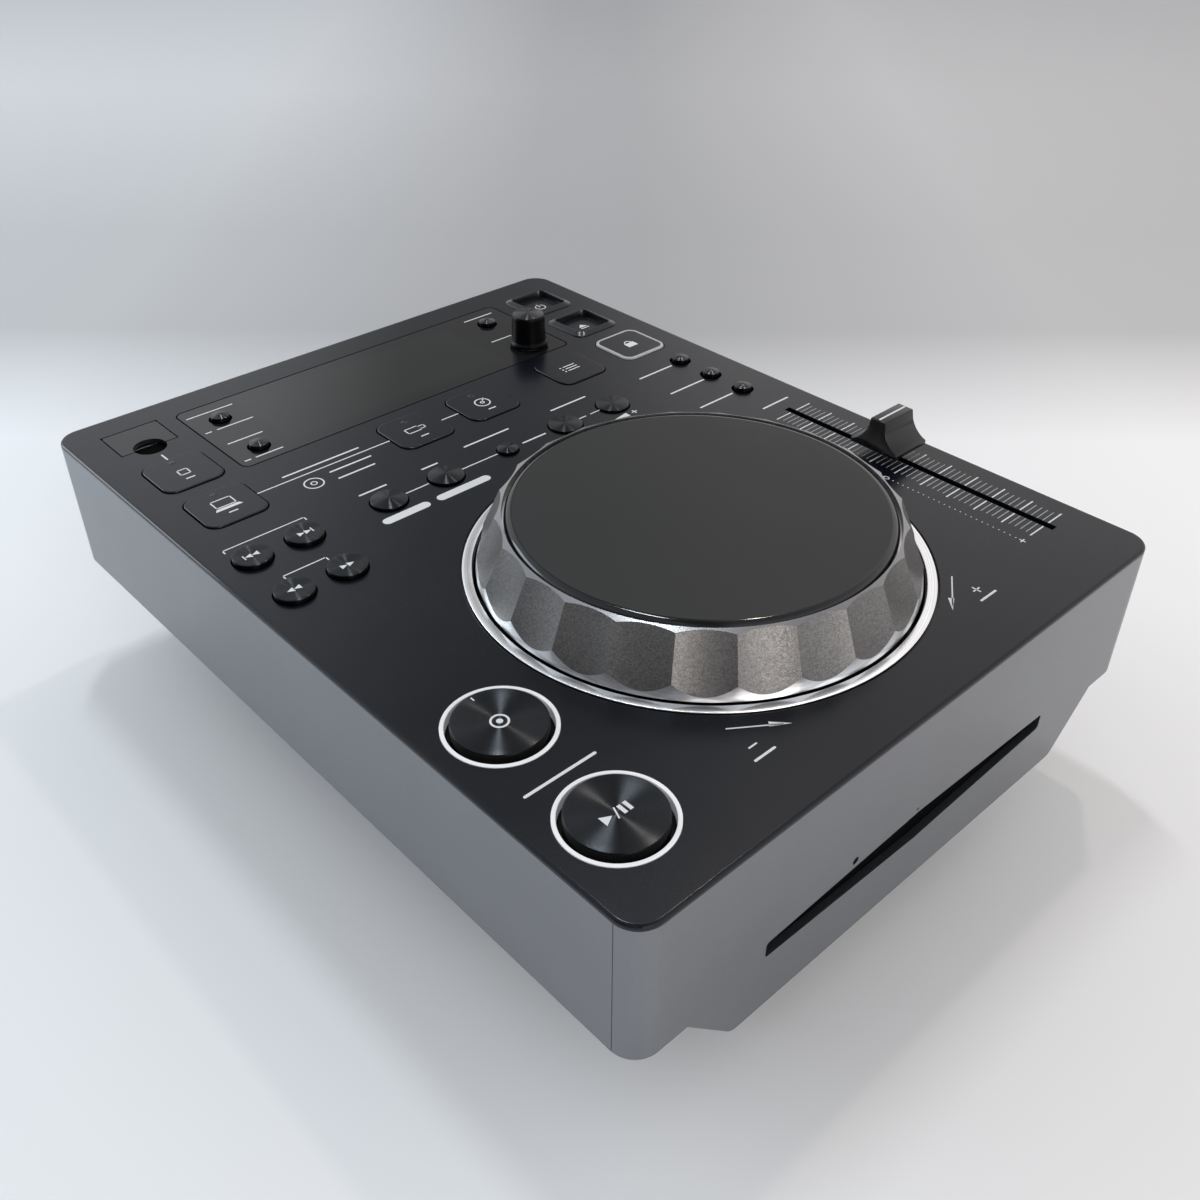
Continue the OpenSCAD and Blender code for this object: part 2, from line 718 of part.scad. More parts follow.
module bottom_chassis() color(steel) {
    inner = wall_t + seam;
    difference() {
        union() {
            // The flange that closes the case from below
            translate([0, 0, floor_z]) linear_extrude(sheet_t) intersection() {
                case_outline(inner);
                translate([-case_w, front_y]) square([2 * case_w, deck_d - wall_t - sheet_t]);
            }
            // The belly
            along_y(front(chin_d + seam), rear_face - sheet_t) belly_outline(0);
        }
        along_y(front(chin_d + seam + sheet_t), rear_face) translate([0, sheet_t * 2]) belly_outline(sheet_t);
        along_y(front(chin_d + seam + sheet_t), rear_face) belly_outline(sheet_t);
        // Room for the disc's path and the feed roller
        slab(disc_x - 68, disc_x + 68, front(0), front(chin_d + 4), floor_z - eps, floor_z + 2 * sheet_t);
        for (p = POSTS) translate([p[0], p[1], floor_z - 1]) cylinder(h = 4, r = hole_r);
        for (p = FEET) translate([p[0], p[1], belly_z - 1]) cylinder(h = 4, r = hole_r);
        // Cooling slots under the power unit
        for (i = [0:6])
            translate([-60 + 6 * i, back(64), belly_z - 1]) round_plate(2.4, 26, 1.15, sheet_t + 2);
    }
    for (p = DRIVE_POSTS) standoff(p, drive_z, 4);
    for (p = REAR_POSTS) standoff(p, board_z, 3);
    // Lugs behind the rear panel for its screws
    for (p = PANEL_SCREWS) difference() {
        slab(p[0] - 4, p[0] + 4, rear_face - sheet_t - 7, rear_face - sheet_t,
            belly_z + sheet_t - eps, p[1] + 4);
        translate([p[0], rear_face, p[1]]) rotate([90, 0, 0]) cylinder(h = 12, r = pilot_r);
    }
}

// A standoff with a pilot hole, from the belly's floor up to a height
module standoff(p, top, r) difference() {
    translate([p[0], p[1], belly_z + sheet_t - eps]) cylinder(h = top - belly_z - sheet_t + eps, r = r);
    translate([p[0], p[1], top - 8]) cylinder(h = 9, r = pilot_r);
}

foot_top_r = foot_r + 1.6;
foot_wall = 4;

module feet() color(rubber_black) for (p = FEET) translate([p[0], p[1], 0]) difference() {
    rotate_extrude() polygon([
        [0, 0], [foot_r - 0.8, 0], [foot_r, 0.8],
        [foot_top_r, belly_z - 1], [foot_top_r, belly_z], [0, belly_z]
    ]);
    translate([0, 0, -1]) cylinder(h = belly_z - foot_wall + 1, r = head_r + 1.2);
    translate([0, 0, -1]) cylinder(h = belly_z + 2, r = hole_r);
}

// A pan-head screw that points up, from the face that its head bears on
module screw(length) {
    translate([0, 0, -head_h]) difference() {
        cylinder(h = head_h, r = head_r);
        translate([-1.6, -0.3, -1]) cube([3.2, 0.6, 1.9]);
        translate([-0.3, -1.6, -1]) cube([0.6, 3.2, 1.9]);
    }
    translate([0, 0, -eps]) cylinder(h = length, r = thread_core);
}

module nut() difference() {
    cylinder(h = nut_h, r = 3.1, $fn = 6);
    translate([0, 0, -1]) cylinder(h = nut_h + 2, r = thread_core + 0.02);
}

module screws() color(steel) {
    for (p = POSTS) translate([p[0], p[1], floor_z]) screw(sheet_t + tab_t + 8);
    for (p = FEET) {
        translate([p[0], p[1], belly_z - foot_wall]) screw(foot_wall + sheet_t + nut_h + 1);
        translate([p[0], p[1], belly_z + sheet_t]) nut();
    }
    for (p = BOARD_POSTS) translate([p[0], p[1], down(board_drop + board_t)]) screw(board_t + 5);
    for (p = concat(JOG_EARS, SLIDER_EARS))
        translate([p[0], p[1], deck_under - ear_t]) screw(ear_t + deck_t - 1.6);
    for (p = DRIVE_POSTS) translate([p[0], p[1], drive_z + sheet_t]) mirror([0, 0, 1]) screw(sheet_t + 6);
    for (p = REAR_POSTS) translate([p[0], p[1], board_z + board_t]) mirror([0, 0, 1]) screw(board_t + 6);
    for (p = PANEL_SCREWS) translate([p[0], rear_face, p[1]]) rotate([90, 0, 0]) screw(sheet_t + 5);
}

// Display and control board

module display_window() color(gloss_black) difference() {
    translate([win_x, win_y, down(window_t)]) round_plate(window_w, window_d, 3, window_t);
    for (b = BUTTONS)
        if (is_window_peg(b)) translate([0, 0, deck_h]) button_hole(b, deck_t);
    translate([selector_at[0], selector_at[1], down(window_t + 1)])
        cylinder(h = window_t + 2, r = selector_r + 2.5);
}

module display_module() color([0.12, 0.16, 0.17]) {
    // The glass in its holder, which stands on the control board
    half_w = glass_w / 2;
    half_d = glass_d / 2;
    foot = 3;
    slab(glass_x - half_w, glass_x + half_w, win_y - half_d, win_y + half_d,
        down(deck_t + seam + 2.5), deck_under - seam);
    slab(glass_x - half_w + foot, glass_x + half_w - foot, win_y - half_d + foot, win_y + half_d - foot,
        down(board_drop), down(deck_t + 1));
}

// A push switch, from the board's face
module push_switch() {
    translate([-switch_w / 2, -switch_w / 2, 0]) cube([switch_w, switch_w, switch_h]);
    cylinder(h = switch_h + plunger_h, r = plunger_r);
}

module control_board() color(board_green) {
    difference() {
        translate([0, 0, down(board_drop + board_t)]) linear_extrude(board_t) difference() {
            translate([left(9.6), front(11)]) square([case_w - 19.2, deck_d - 11 - 5]);
            translate([jog_x, front(jog_y)]) circle(trim_r + 2, $fn = 96);
            translate([jog_x, front(-10)]) square([case_w, jog_y + 60]);
            translate([jog_x - trim_r + 15, front(-10)]) square([trim_r, jog_y]);
        }
        for (p = POSTS) translate([p[0], p[1], down(board_drop + 4)]) cylinder(h = 6, r = post_r + 0.4);
        for (p = BOARD_POSTS) translate([p[0], p[1], down(board_drop + 4)]) cylinder(h = 6, r = hole_r);
        slab(right(right_inset) - housing_w / 2 - 1, right(0), front(0), front(housing_back + 1),
            down(board_drop + 4), down(board_drop - 1));
    }
    for (b = BUTTONS) translate([b[1], b[2], down(board_drop) - eps]) push_switch();
}

// Light rings round the two large buttons
module light_rings() color(white_lens)
    for (y = [cue_y, play_y]) translate([left(big_inset), front(y), deck_under]) difference() {
        cylinder(h = deck_t + 0.15, r = light_r);
        translate([0, 0, -1]) cylinder(h = deck_t + 3, r = light_r - light_w);
    }

// Raised guards round the power and eject keys
module button_guards() color(graphite) for (y = [key_back_y, guard_back_y])
    translate([right(well_inset), y, 0]) difference() {
        neck = hole_size("guarded") - 2 * seam;
        union() {
            translate([0, 0, deck_h]) hull() {
                round_plate(key_w - 0.2, key_w - 0.2, key_r - 0.8, 0.3);
                round_plate(guard_hole + 0.8, guard_hole + 0.8, guard_hole_r + 0.4, guard_rise);
            }
            translate([0, 0, deck_under - 2])
                round_plate(neck, neck, key_r + key_gap, deck_t + 2.2);
        }
        translate([0, 0, deck_under - 3])
            round_plate(guard_hole, guard_hole, guard_hole_r, deck_t + guard_rise + 4);
    }

// Buttons: a cap above the deck, a flange below it that keeps it in, and a stem to its switch

// The profile of a round cap, turned about its axis
module turned_cap(r, low, high, tip) {
    edge = min(0.6, r / 5);
    rotate_extrude() polygon([
        [0, low], [r, low], [r, high - edge], [r - edge * 0.3, high - edge * 0.3], [r - edge, high],
        [r * 0.38, high + tip], [0, high + tip * 0.8]
    ]);
}

module button(index) {
    b = BUTTONS[index];
    kind = b[3];
    size = cap_size(kind);
    hole = kind == "guarded" ? guard_hole : hole_size(kind);
    // The flange sits just below the deck, or below the guard
    flange_z = (kind == "guarded" ? deck_under - 2 : deck_under) - seam;
    stem_z = down(board_drop) + switch_h + plunger_h + travel(kind) + end_gap;
    translate([b[1], b[2], 0]) {
        if (kind == "key")
            translate([0, 0, flange_z - eps])
                soft_plate(size, size, key_r, up(key_rise) - flange_z + eps, 0.5);
        if (kind == "guarded")
            translate([0, 0, flange_z - eps])
                soft_plate(size, size, 2, up(guard_rise - guard_depth) - flange_z + eps, 0.4);
        if (kind == "big") turned_cap(size, flange_z - eps, up(big_rise), 0);
        if (kind == "cap" || kind == "small") turned_cap(size, flange_z - eps, up(cap_rise), 0);
        if (kind == "disc") turned_cap(size, flange_z - eps, up(cap_rise * 0.7), 0);
        if (kind == "cone") turned_cap(size, flange_z - eps, up(cap_rise * 0.6), 0.8);
        if (kind == "peg") turned_cap(size, flange_z - eps, up(peg_rise - 0.3), 0.3);
        // Two ears of the flange hold the button under the rim of its hole
        if (is_square(kind))
            translate([0, 0, flange_z - flange_t]) round_plate(hole + 2 * flange_w, size - 6, 1, flange_t);
        else
            translate([0, 0, flange_z - flange_t]) cylinder(h = flange_t, r = hole + flange_w);
        translate([0, 0, stem_z]) cylinder(h = flange_z - flange_t - stem_z + eps, r = stem_r);
    }
}

module cap_button(index) color(gloss_black) button(index);
module key_button(index) color(graphite) button(index);

// Jog wheel

jog_at = [jog_x, front(jog_y), 0];
well_gap = 0.6;
web_rise = dial_rise - 5.5;
cup_floor = down(jog_cup_drop);
boss_top = down(2);

module jog_trim_ring() color(silver) translate([jog_x, front(jog_y), down(trim_t)]) difference() {
    cylinder(h = trim_t + 0.2, r = trim_r, $fn = 96);
    translate([0, 0, -1]) cylinder(h = trim_t + 3, r = trim_r - trim_w + 0.3, $fn = 96);
}

// The dial: a turned body, scooped by a ring of leaning cutters
module jog_dial() color(gunmetal) translate([jog_at[0], jog_at[1], deck_h]) difference() {
    rotate_extrude($fn = 96) polygon([
        [jog_shaft_r, web_rise], [jog_shaft_r, 4], [8, 4], [8, web_rise - 2.5], [ridge_r - 6, web_rise - 2.5],
        [skirt_r - 3, 3], [skirt_r - 3, -1.6], [skirt_r, -1.6], [skirt_r, 5],
        [ridge_r + 0.9, dial_rise - 0.3], [plate_r + well_gap, dial_rise + rim_rise],
        [plate_r + well_gap, web_rise + 3], [12, web_rise + 3], [12, web_rise]
    ]);
    // Each scallop's middle ends just above the deck
    lean = atan2(skirt_r - ridge_r + scallop_depth, dial_rise - 1.2);
    for (i = [0:scallops - 1]) rotate([0, 0, 360 / scallops * i])
        translate([0, -(ridge_r - scallop_depth), dial_rise]) rotate([-lean, 0, 0])
            translate([0, -scallop_r, -2 * dial_rise]) cylinder(h = 4 * dial_rise, r = scallop_r, $fn = 96);
}

module jog_plate() color(gloss_black) translate([jog_at[0], jog_at[1], deck_h]) {
    under = web_rise + 3 + plate_travel + end_gap;
    rotate_extrude($fn = 96) polygon([
        [0, plate_rise - 2], [plate_r - 4, plate_rise - 2], [plate_r - 4, under], [plate_r, under],
        [plate_r, plate_rise - 1.2], [plate_r - 0.35, plate_rise - 0.35], [plate_r - 1.2, plate_rise],
        [0, plate_rise]
    ]);
}

// The shaft, with the slotted encoder disc pressed on it
module jog_shaft() color(steel) translate([jog_at[0], jog_at[1], 0]) {
    translate([0, 0, cup_floor + 0.5]) cylinder(h = up(web_rise + 2) - cup_floor - 0.5, r = jog_shaft_r);
    difference() {
        translate([0, 0, boss_top + 1]) cylinder(h = 0.8, r = 24);
        for (i = [0:35]) rotate([0, 0, 10 * i])
            translate([20, -0.7, boss_top]) cube([3, 1.4, 3]);
    }
    translate([0, 0, boss_top + 0.3]) cylinder(h = 2.4, r = 5);
}

// The cup under the deck that carries the shaft in its boss
module jog_base() color(rubber_black) translate([jog_at[0], jog_at[1], 0]) difference() {
    union() {
        translate([0, 0, cup_floor]) cylinder(h = deck_under - cup_floor, r = trim_r + 0.6, $fn = 96);
        for (a = [45:90:315]) rotate([0, 0, a]) translate([0, 0, deck_under - ear_t]) {
            translate([trim_r + 6, 0, 0]) cylinder(h = ear_t, r = ear_r);
            translate([trim_r - 1, -ear_r, 0]) cube([7, 2 * ear_r, ear_t]);
        }
    }
    for (a = [45:90:315]) rotate([0, 0, a])
        translate([trim_r + 6, 0, deck_under - ear_t - 1]) cylinder(h = ear_t + 2, r = hole_r);
    translate([0, 0, cup_floor + 2]) difference() {
        cylinder(h = deck_under - cup_floor, r = trim_r - 2, $fn = 96);
        translate([0, 0, -1]) cylinder(h = boss_top - cup_floor - 1, r = 7);
        // The sensor's post beside the encoder disc
        translate([-4, 26, -1]) cube([8, 7, boss_top - cup_floor + 2]);
    }
    translate([0, 0, cup_floor - 1]) cylinder(h = 40, r = jog_shaft_r + run_fit);
}

// Selector

module selector_knob() color(gloss_black) translate([selector_at[0], selector_at[1], deck_h]) difference() {
    foot_z = selector_travel + 0.5;
    rotate_extrude() polygon([
        [0, foot_z], [knob_foot_r, foot_z], [knob_foot_r, foot_z + 0.9], [knob_r + 0.4, foot_z + 2],
        [knob_r, knob_rise - 1], [knob_r - 0.4, knob_rise - 0.3],
        [knob_r - 1, knob_rise], [0, knob_rise + 0.6]
    ]);
    translate([0, 0, -1]) cylinder(h = knob_rise - 1, r = selector_r + run_fit);
}

module selector_shaft() color(steel) translate([selector_at[0], selector_at[1], 0])
    translate([0, 0, down(board_drop) + 1]) cylinder(h = board_drop + knob_rise - 2 - 1.5, r = selector_r);

module selector_encoder() color(steel)
    translate([selector_at[0], selector_at[1], down(board_drop)]) difference() {
    union() {
        translate([-encoder_half, -encoder_half, switch_h + plunger_h + 0.1])
            cube([2 * encoder_half, 2 * encoder_half, 3]);
        for (sx = [-1, 1], sy = [-1, 1])
            translate([sx * (encoder_half - 1) - 1, sy * (encoder_half - 1) - 1, 0])
                cube([2, 2, switch_h + 2]);
        cylinder(h = board_drop - 0.6, r = selector_r + 1.6);
    }
    translate([0, 0, -1]) cylinder(h = board_drop + 3, r = selector_r + run_fit);
}

// Tempo slider

housing_w = 14;
housing_front = slider_mid - slider_half - 8;
housing_back = slider_mid + slider_half + 8;
housing_top = deck_under;
slider_y = front(slider_mid + slider_rest);
slider_x = right(right_inset);
function slider_ear_y(p) = p[1] < front(slider_mid) ? front(housing_front + 1) : front(housing_back - 1);

// A saddle-shaped knob: flat on top, hollowed front and back
module slider_knob() color(gloss_black) translate([slider_x, slider_y, up(slider_gap)]) {
    rise = slider_rise - slider_gap;
    scoop = rise - 1.4;
    difference() {
        intersection() {
            translate([-slider_w / 2, -slider_l / 2, 0]) cube([slider_w, slider_l, rise]);
            // The ends lean in towards the top
            rotate([90, 0, 0]) linear_extrude(slider_l, center = true) polygon([
                [-slider_w / 2, 0], [slider_w / 2, 0], [slider_w / 2, 1.6],
                [slider_w / 2 - 0.8, rise], [-slider_w / 2 + 0.8, rise], [-slider_w / 2, 1.6]
            ]);
        }
        for (s = [-1, 1]) translate([0, s * (3 + scoop * 0.86), scoop + 1.4])
            rotate([0, 90, 0]) scale([1, 0.86, 1]) cylinder(h = slider_w + 2, r = scoop, center = true);
        for (s = [-1, 1]) translate([-slider_w, s * (3 + scoop * 0.86) - (s < 0 ? slider_l : 0), 1.4])
            cube([2 * slider_w, slider_l, rise]);
        translate([-lever_t / 2, -lever_w / 2, -1]) cube([lever_t, lever_w, rise - 3]);
    }
}

module slider_carriage() color(steel) translate([slider_x, slider_y, 0]) {
    // The lever fills the knob's socket
    slab(-lever_t / 2, lever_t / 2, -lever_w / 2, lever_w / 2, housing_top - 5, up(slider_rise) - 4.1);
    slab(-4, 4, -5, 5, housing_top - 7, housing_top - 2.5);
}

module slider_housing() color(steel) difference() {
    union() {
        slab(slider_x - housing_w / 2, slider_x + housing_w / 2, front(housing_front), front(housing_back),
            housing_top - 10, housing_top);
        for (p = SLIDER_EARS) {
            translate([p[0], p[1], housing_top - ear_t]) cylinder(h = ear_t, r = ear_r);
            translate([p[0] - ear_r, min(p[1], slider_ear_y(p)), housing_top - ear_t])
                cube([2 * ear_r, abs(slider_ear_y(p) - p[1]), ear_t]);
        }
    }
    for (p = SLIDER_EARS)
        translate([p[0], p[1], housing_top - ear_t - 1]) cylinder(h = ear_t + 2, r = hole_r);
    slab(slider_x - 4.3, slider_x + 4.3, front(housing_front + 2), front(housing_back - 2),
        housing_top - 7.3, housing_top - 2.2);
    slab(slider_x - 1.2, slider_x + 1.2, front(housing_front + 3), front(housing_back - 3),
        housing_top - 4, housing_top + 1);
}

// USB port

module usb_flap() color(graphite) {
    difference() {
        translate([0, 0, down(flap_t)]) flap_outline(0, flap_r, flap_t);
        translate([flap_x, back(flap_in + flap_d), down(flap_t + 1)]) cylinder(h = flap_t + 2, r = notch_r);
    }
    // The hinge pin
    translate([flap_x, hinge_y, hinge_z])
        rotate([0, 90, 0]) cylinder(h = flap_w + 2, r = pin_r, center = true);
}

module usb_socket() color(steel) translate([flap_x, port_y, down(board_drop)]) {
    socket_h = board_gap + pocket_floor;
    difference() {
        translate([-port_w / 2, -port_d / 2, 0]) cube([port_w, port_d, socket_h]);
        translate([-port_w / 2 + 0.6, -port_d / 2 + 0.6, 1.2]) cube([port_w - 1.2, port_d - 1.2, board_drop]);
    }
    // The tongue with its contacts
    translate([-5.6, -2.9, 1]) cube([11.2, 1.2, socket_h - 1.5]);
}

// Disc drive

table_at = [disc_x, front(table_y)];
roller_y = 24;
roller_r = 4.6;
roller_drop = disc_drop + 0.8 + roller_r;
clamp_hinge = [drive_back - 8, 34];
clamp_half = 9;
screw_x = disc_x + 18;
rod_x = disc_x - 18;
sled_drop = 52;
screw_gear = drive_back - 9;

module drive_frame() color(steel) {
    difference() {
        slab(disc_x - drive_half, disc_x + drive_half, front(wall_t + 15.4), front(drive_back),
            drive_z, down(30));
        slab(disc_x - drive_half + sheet_t, disc_x + drive_half - sheet_t,
            front(0), front(drive_back - sheet_t), drive_z + sheet_t, down(29));
        // The opening for the pickup
        slab(disc_x - 14, disc_x + 14, front(table_y + 20), front(drive_back - 16), drive_z - 1, drive_z + 3);
        for (p = DRIVE_POSTS) translate([p[0], p[1], drive_z - 1]) cylinder(h = 4, r = hole_r);
        // The roller's bearings
        translate([disc_x, front(roller_y), down(roller_drop)])
            rotate([0, 90, 0]) cylinder(h = 2 * drive_half + 2, r = 1.5 + run_fit, center = true);
    }
    // The clamp's hinge posts
    for (s = [-1, 1]) difference() {
        translate([disc_x + s * (clamp_half + 2), front(clamp_hinge[0]), drive_z]) translate([-1, -4, 0])
            cube([2, 8, down(clamp_hinge[1] - 4) - drive_z]);
        translate([disc_x, front(clamp_hinge[0]), down(clamp_hinge[1])])
            rotate([0, 90, 0]) cylinder(h = 60, r = 1.5 + run_fit, center = true);
    }
    // The screw's two bearings
    for (y = [table_y + 10, drive_back - 5]) difference() {
        slab(screw_x - 4, screw_x + 4, front(y - 1.5), front(y + 1.5),
            drive_z + sheet_t - eps, down(sled_drop - 4));
        translate([screw_x, front(0), down(sled_drop)])
            rotate([-90, 0, 0]) cylinder(h = 300, r = 1.5 + run_fit);
    }
    // The guide rod and its two holders
    translate([rod_x, front(table_y + 10), down(sled_drop)])
        rotate([-90, 0, 0]) cylinder(h = drive_back - 14 - table_y, r = 1.5);
    for (y = [table_y + 11.5, drive_back - 5.5])
        slab(rod_x - 4, rod_x + 4, front(y - 1.5), front(y + 1.5),
            drive_z + sheet_t - eps, down(sled_drop - 4));
}

// A rubber roller, waisted in the middle, on its shaft
module feed_roller() color(rubber_black)
    translate([disc_x, front(roller_y), down(roller_drop)]) rotate([0, 90, 0]) {
    half = drive_half - sheet_t - 1;
    rotate_extrude() polygon([
        [0, -drive_half - 1.5], [1.5, -drive_half - 1.5], [1.5, -half], [roller_r, -half],
        [roller_r - 1.2, 0], [roller_r, half], [1.5, half], [1.5, drive_half + 1.5], [0, drive_half + 1.5]
    ]);
}

module turntable() color(graphite) translate([table_at[0], table_at[1], 0]) rotate_extrude() polygon([
    [0, down(57)], [1, down(57)], [1, down(disc_drop + 3.5)], [15, down(disc_drop + 3.5)],
    [15, down(disc_drop + 0.6)], [7.4, down(disc_drop + 0.6)], [7.2, down(disc_drop - 0.4)],
    [6.2, down(disc_drop - 1.2)], [0, down(disc_drop - 1.2)]
]);

// The clamp arm, hinged behind, with its puck over the turntable
module disc_clamp() color(steel) {
    arm_z = down(disc_drop - 5.5);
    slab(disc_x - clamp_half, disc_x + clamp_half, front(table_y), front(clamp_hinge[0]),
        arm_z + 1.2, arm_z + 2.7);
    translate([disc_x, front(clamp_hinge[0]), down(clamp_hinge[1])])
        rotate([0, 90, 0]) cylinder(h = 2 * clamp_half + 8, r = 1.5, center = true);
    slab(disc_x - clamp_half, disc_x + clamp_half, front(clamp_hinge[0] - 2), front(clamp_hinge[0] + 2),
        arm_z + 1.2, down(clamp_hinge[1] - 2));
    translate([table_at[0], table_at[1], 0]) rotate_extrude() polygon([
        [8, down(disc_drop - 0.9)], [14, down(disc_drop - 0.9)], [14, arm_z], [3, arm_z + 1.3],
        [0, arm_z + 1.3], [0, arm_z - 1.2], [6, arm_z - 1.2]
    ]);
}

// The pickup: a sled on the rod and the screw, with its lens
module pickup_sled() color(graphite) difference() {
    union() {
        slab(rod_x - 4, screw_x + 4, front(sled_y - sled_half), front(sled_y + sled_half),
            down(sled_drop + 3), down(sled_drop - 3.5));
        translate([disc_x, front(sled_y), down(sled_drop - 3.5) - eps]) cylinder(h = 1.6, r = 6);
        translate([disc_x, front(sled_y), down(sled_drop - 5.1) - 2 * eps]) cylinder(h = 0.7, r = 2.2);
    }
    for (x = [rod_x, screw_x]) translate([x, front(sled_y), down(sled_drop)])
        rotate([90, 0, 0]) cylinder(h = 20, r = 1.5 + run_fit, center = true);
}

// The lead screw, with its gear in front of the rear bearing
module lead_screw() color(steel)
    translate([screw_x, front(table_y + 8), down(sled_drop)]) rotate([-90, 0, 0]) {
    cylinder(h = drive_back - 12 - table_y, r = 1.5);
    translate([0, 0, screw_gear - table_y - 8]) cylinder(h = 1.5, r = 4);
}

module drive_motors() color(steel) {
    // The spindle's flat motor
    translate([table_at[0], table_at[1], drive_z + sheet_t]) difference() {
        cylinder(h = 5.5, r = 12);
        translate([0, 0, -1]) cylinder(h = 10, r = 1 + run_fit);
    }
    // The feed motor beside the roller
    translate([disc_x + 40, front(44), drive_z + sheet_t + 6])
        rotate([0, 90, 0]) cylinder(h = 20, r = 6, center = true);
    // The pickup's motor beside its screw
    translate([screw_x + 14, front(drive_back - 24), drive_z + sheet_t + 5])
        rotate([90, 0, 0]) cylinder(h = 16, r = 5, center = true);
}

// Boards behind the drive, and the sockets in the rear panel

RCA_X = [42, 58];
control_x = 26;
usb_b_x = 8;
inlet_x = -56;

// A board on the rear standoffs, from one side to the other
module rear_board(x0, x1, y_back) difference() {
    slab(x0, x1, rear_board_y, back(y_back), board_z, board_z + board_t);
    for (p = REAR_POSTS) translate([p[0], p[1], board_z - 1]) cylinder(h = board_t + 2, r = hole_r);
}

// Something on a rear board: a block between two distances from the board's front edge, or a can
module rear_block(x0, x1, y0, y1, rise) {
    slab(x0, x1, rear_board_y + y0, rear_board_y + y1, board_z + board_t - eps, board_z + board_t + rise);
}

module rear_can(x, y, r, rise) {
    translate([x, rear_board_y + y, board_z + board_t - eps]) cylinder(h = rise, r = r);
}

module main_board() color(board_green) {
    rear_board(-2, 78, 6);
    rear_block(14, 38, 18, 42, 1.4);
    rear_block(46, 60, 22, 36, 1.2);
    for (y = [32, 44]) rear_can(70, y, 4, 9);
}

module power_unit() color(board_green) {
    rear_board(-80, -12, power_in);
    // The transformer, the main capacitor and the heat sink
    rear_block(-58, -34, 24, 54, 18);
    rear_can(-24, 50, 7, 20);
    rear_block(-56, -26, 10, 13, 16);
}

// The part of a socket that stands on the main board, and a round part that points to the back
module jack_block(x, half_w, depth) {
    slab(x - half_w, x + half_w, rear_face - depth, rear_face - sheet_t - 0.1,
        board_z + board_t, down(jack_drop - 5.5));
}

module rear_pin(x, start, length, r) {
    translate([x, rear_face + start, down(jack_drop)]) rotate([-90, 0, 0]) cylinder(h = length, r = r);
}

module rear_jacks() color(gloss_black) {
    jack_z = down(jack_drop);
    tip_y = back_y + jack_reach;
    for (x = RCA_X) {
        difference() {
            union() {
                jack_block(x, 5.5, 13);
                rear_pin(x, -3, 5, 5);
                rear_pin(x, 0, tip_y - rear_face, jack_r);
            }
            rear_pin(x, 0, 20, 1.65);
        }
    }
    difference() {
        union() {
            jack_block(control_x, 5.5, 13);
            rear_pin(control_x, -3, 5, 4);
        }
        rear_pin(control_x, -11, 20, 1.8);
    }
    difference() {
        union() {
            jack_block(usb_b_x, 6, 16);
            slab(usb_b_x - 6, usb_b_x + 6, rear_face - 3, rear_face + 0.6, jack_z - 5.5, jack_z + 5.5);
        }
        slab(usb_b_x - 4.2, usb_b_x + 4.2, rear_face - 10, rear_face + 2, jack_z - 3.9, jack_z + 3.9);
    }
    // The power inlet, with its flange outside the panel and its two pins
    difference() {
        union() {
            slab(inlet_x - 11, inlet_x + 11, rear_face - 18, rear_face + 0.6, jack_z - 7.7, jack_z + 7.7);
            slab(inlet_x - 13.5, inlet_x + 13.5, rear_face, rear_face + 1.4, jack_z - 9.5, jack_z + 9.5);
        }
        translate([inlet_x, rear_face - 15, jack_z])
            rotate([-90, 0, 0]) linear_extrude(20) round_rect(17, 9.6, 4.7);
    }
    for (s = [-1, 1]) rear_pin(inlet_x + s * 4.3, -16, 13, 1.2);
}

top_panel();
side_shell();
front_fascia();
rear_panel();
bottom_chassis();
feet();
screws();
display_window();
display_module();
control_board();
light_rings();
button_guards();
jog_trim_ring();
jog_dial();
jog_plate();
jog_shaft();
jog_base();
selector_knob();
selector_shaft();
selector_encoder();
slider_knob();
slider_carriage();
slider_housing();
usb_flap();
usb_socket();
cap_button(0);  // cue_button
cap_button(1);  // play_button
cap_button(2);  // track_back_button
cap_button(3);  // track_next_button
cap_button(4);  // search_back_button
cap_button(5);  // search_next_button
cap_button(6);  // loop_in_button
cap_button(7);  // loop_out_button
cap_button(8);  // reloop_button
cap_button(9);  // beat_less_button
cap_button(10);  // beat_more_button
cap_button(11);  // time_button
cap_button(12);  // menu_button
cap_button(13);  // return_button
cap_button(14);  // vinyl_button
cap_button(15);  // range_button
cap_button(16);  // tempo_reset_button
key_button(17);  // usb_stop_key
key_button(18);  // laptop_key
key_button(19);  // memory_key
key_button(20);  // disc_key
key_button(21);  // list_key
key_button(22);  // lock_key
key_button(23);  // power_key
key_button(24);  // eject_key
drive_frame();
feed_roller();
turntable();
disc_clamp();
pickup_sled();
lead_screw();
drive_motors();
main_board();
power_unit();
rear_jacks();
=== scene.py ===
"""Looks of a tabletop disc player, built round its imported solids.

Everything is in metres, in the frame of the solids: the origin is under the middle of the case on the
soles of the feet, +X is to the right as seen from the front, +Y is to the back and +Z is up.
Sizes in this script are written in millimetres and turned into metres when a mesh is made.
"""

import math

import bpy
from mathutils import Matrix, Vector


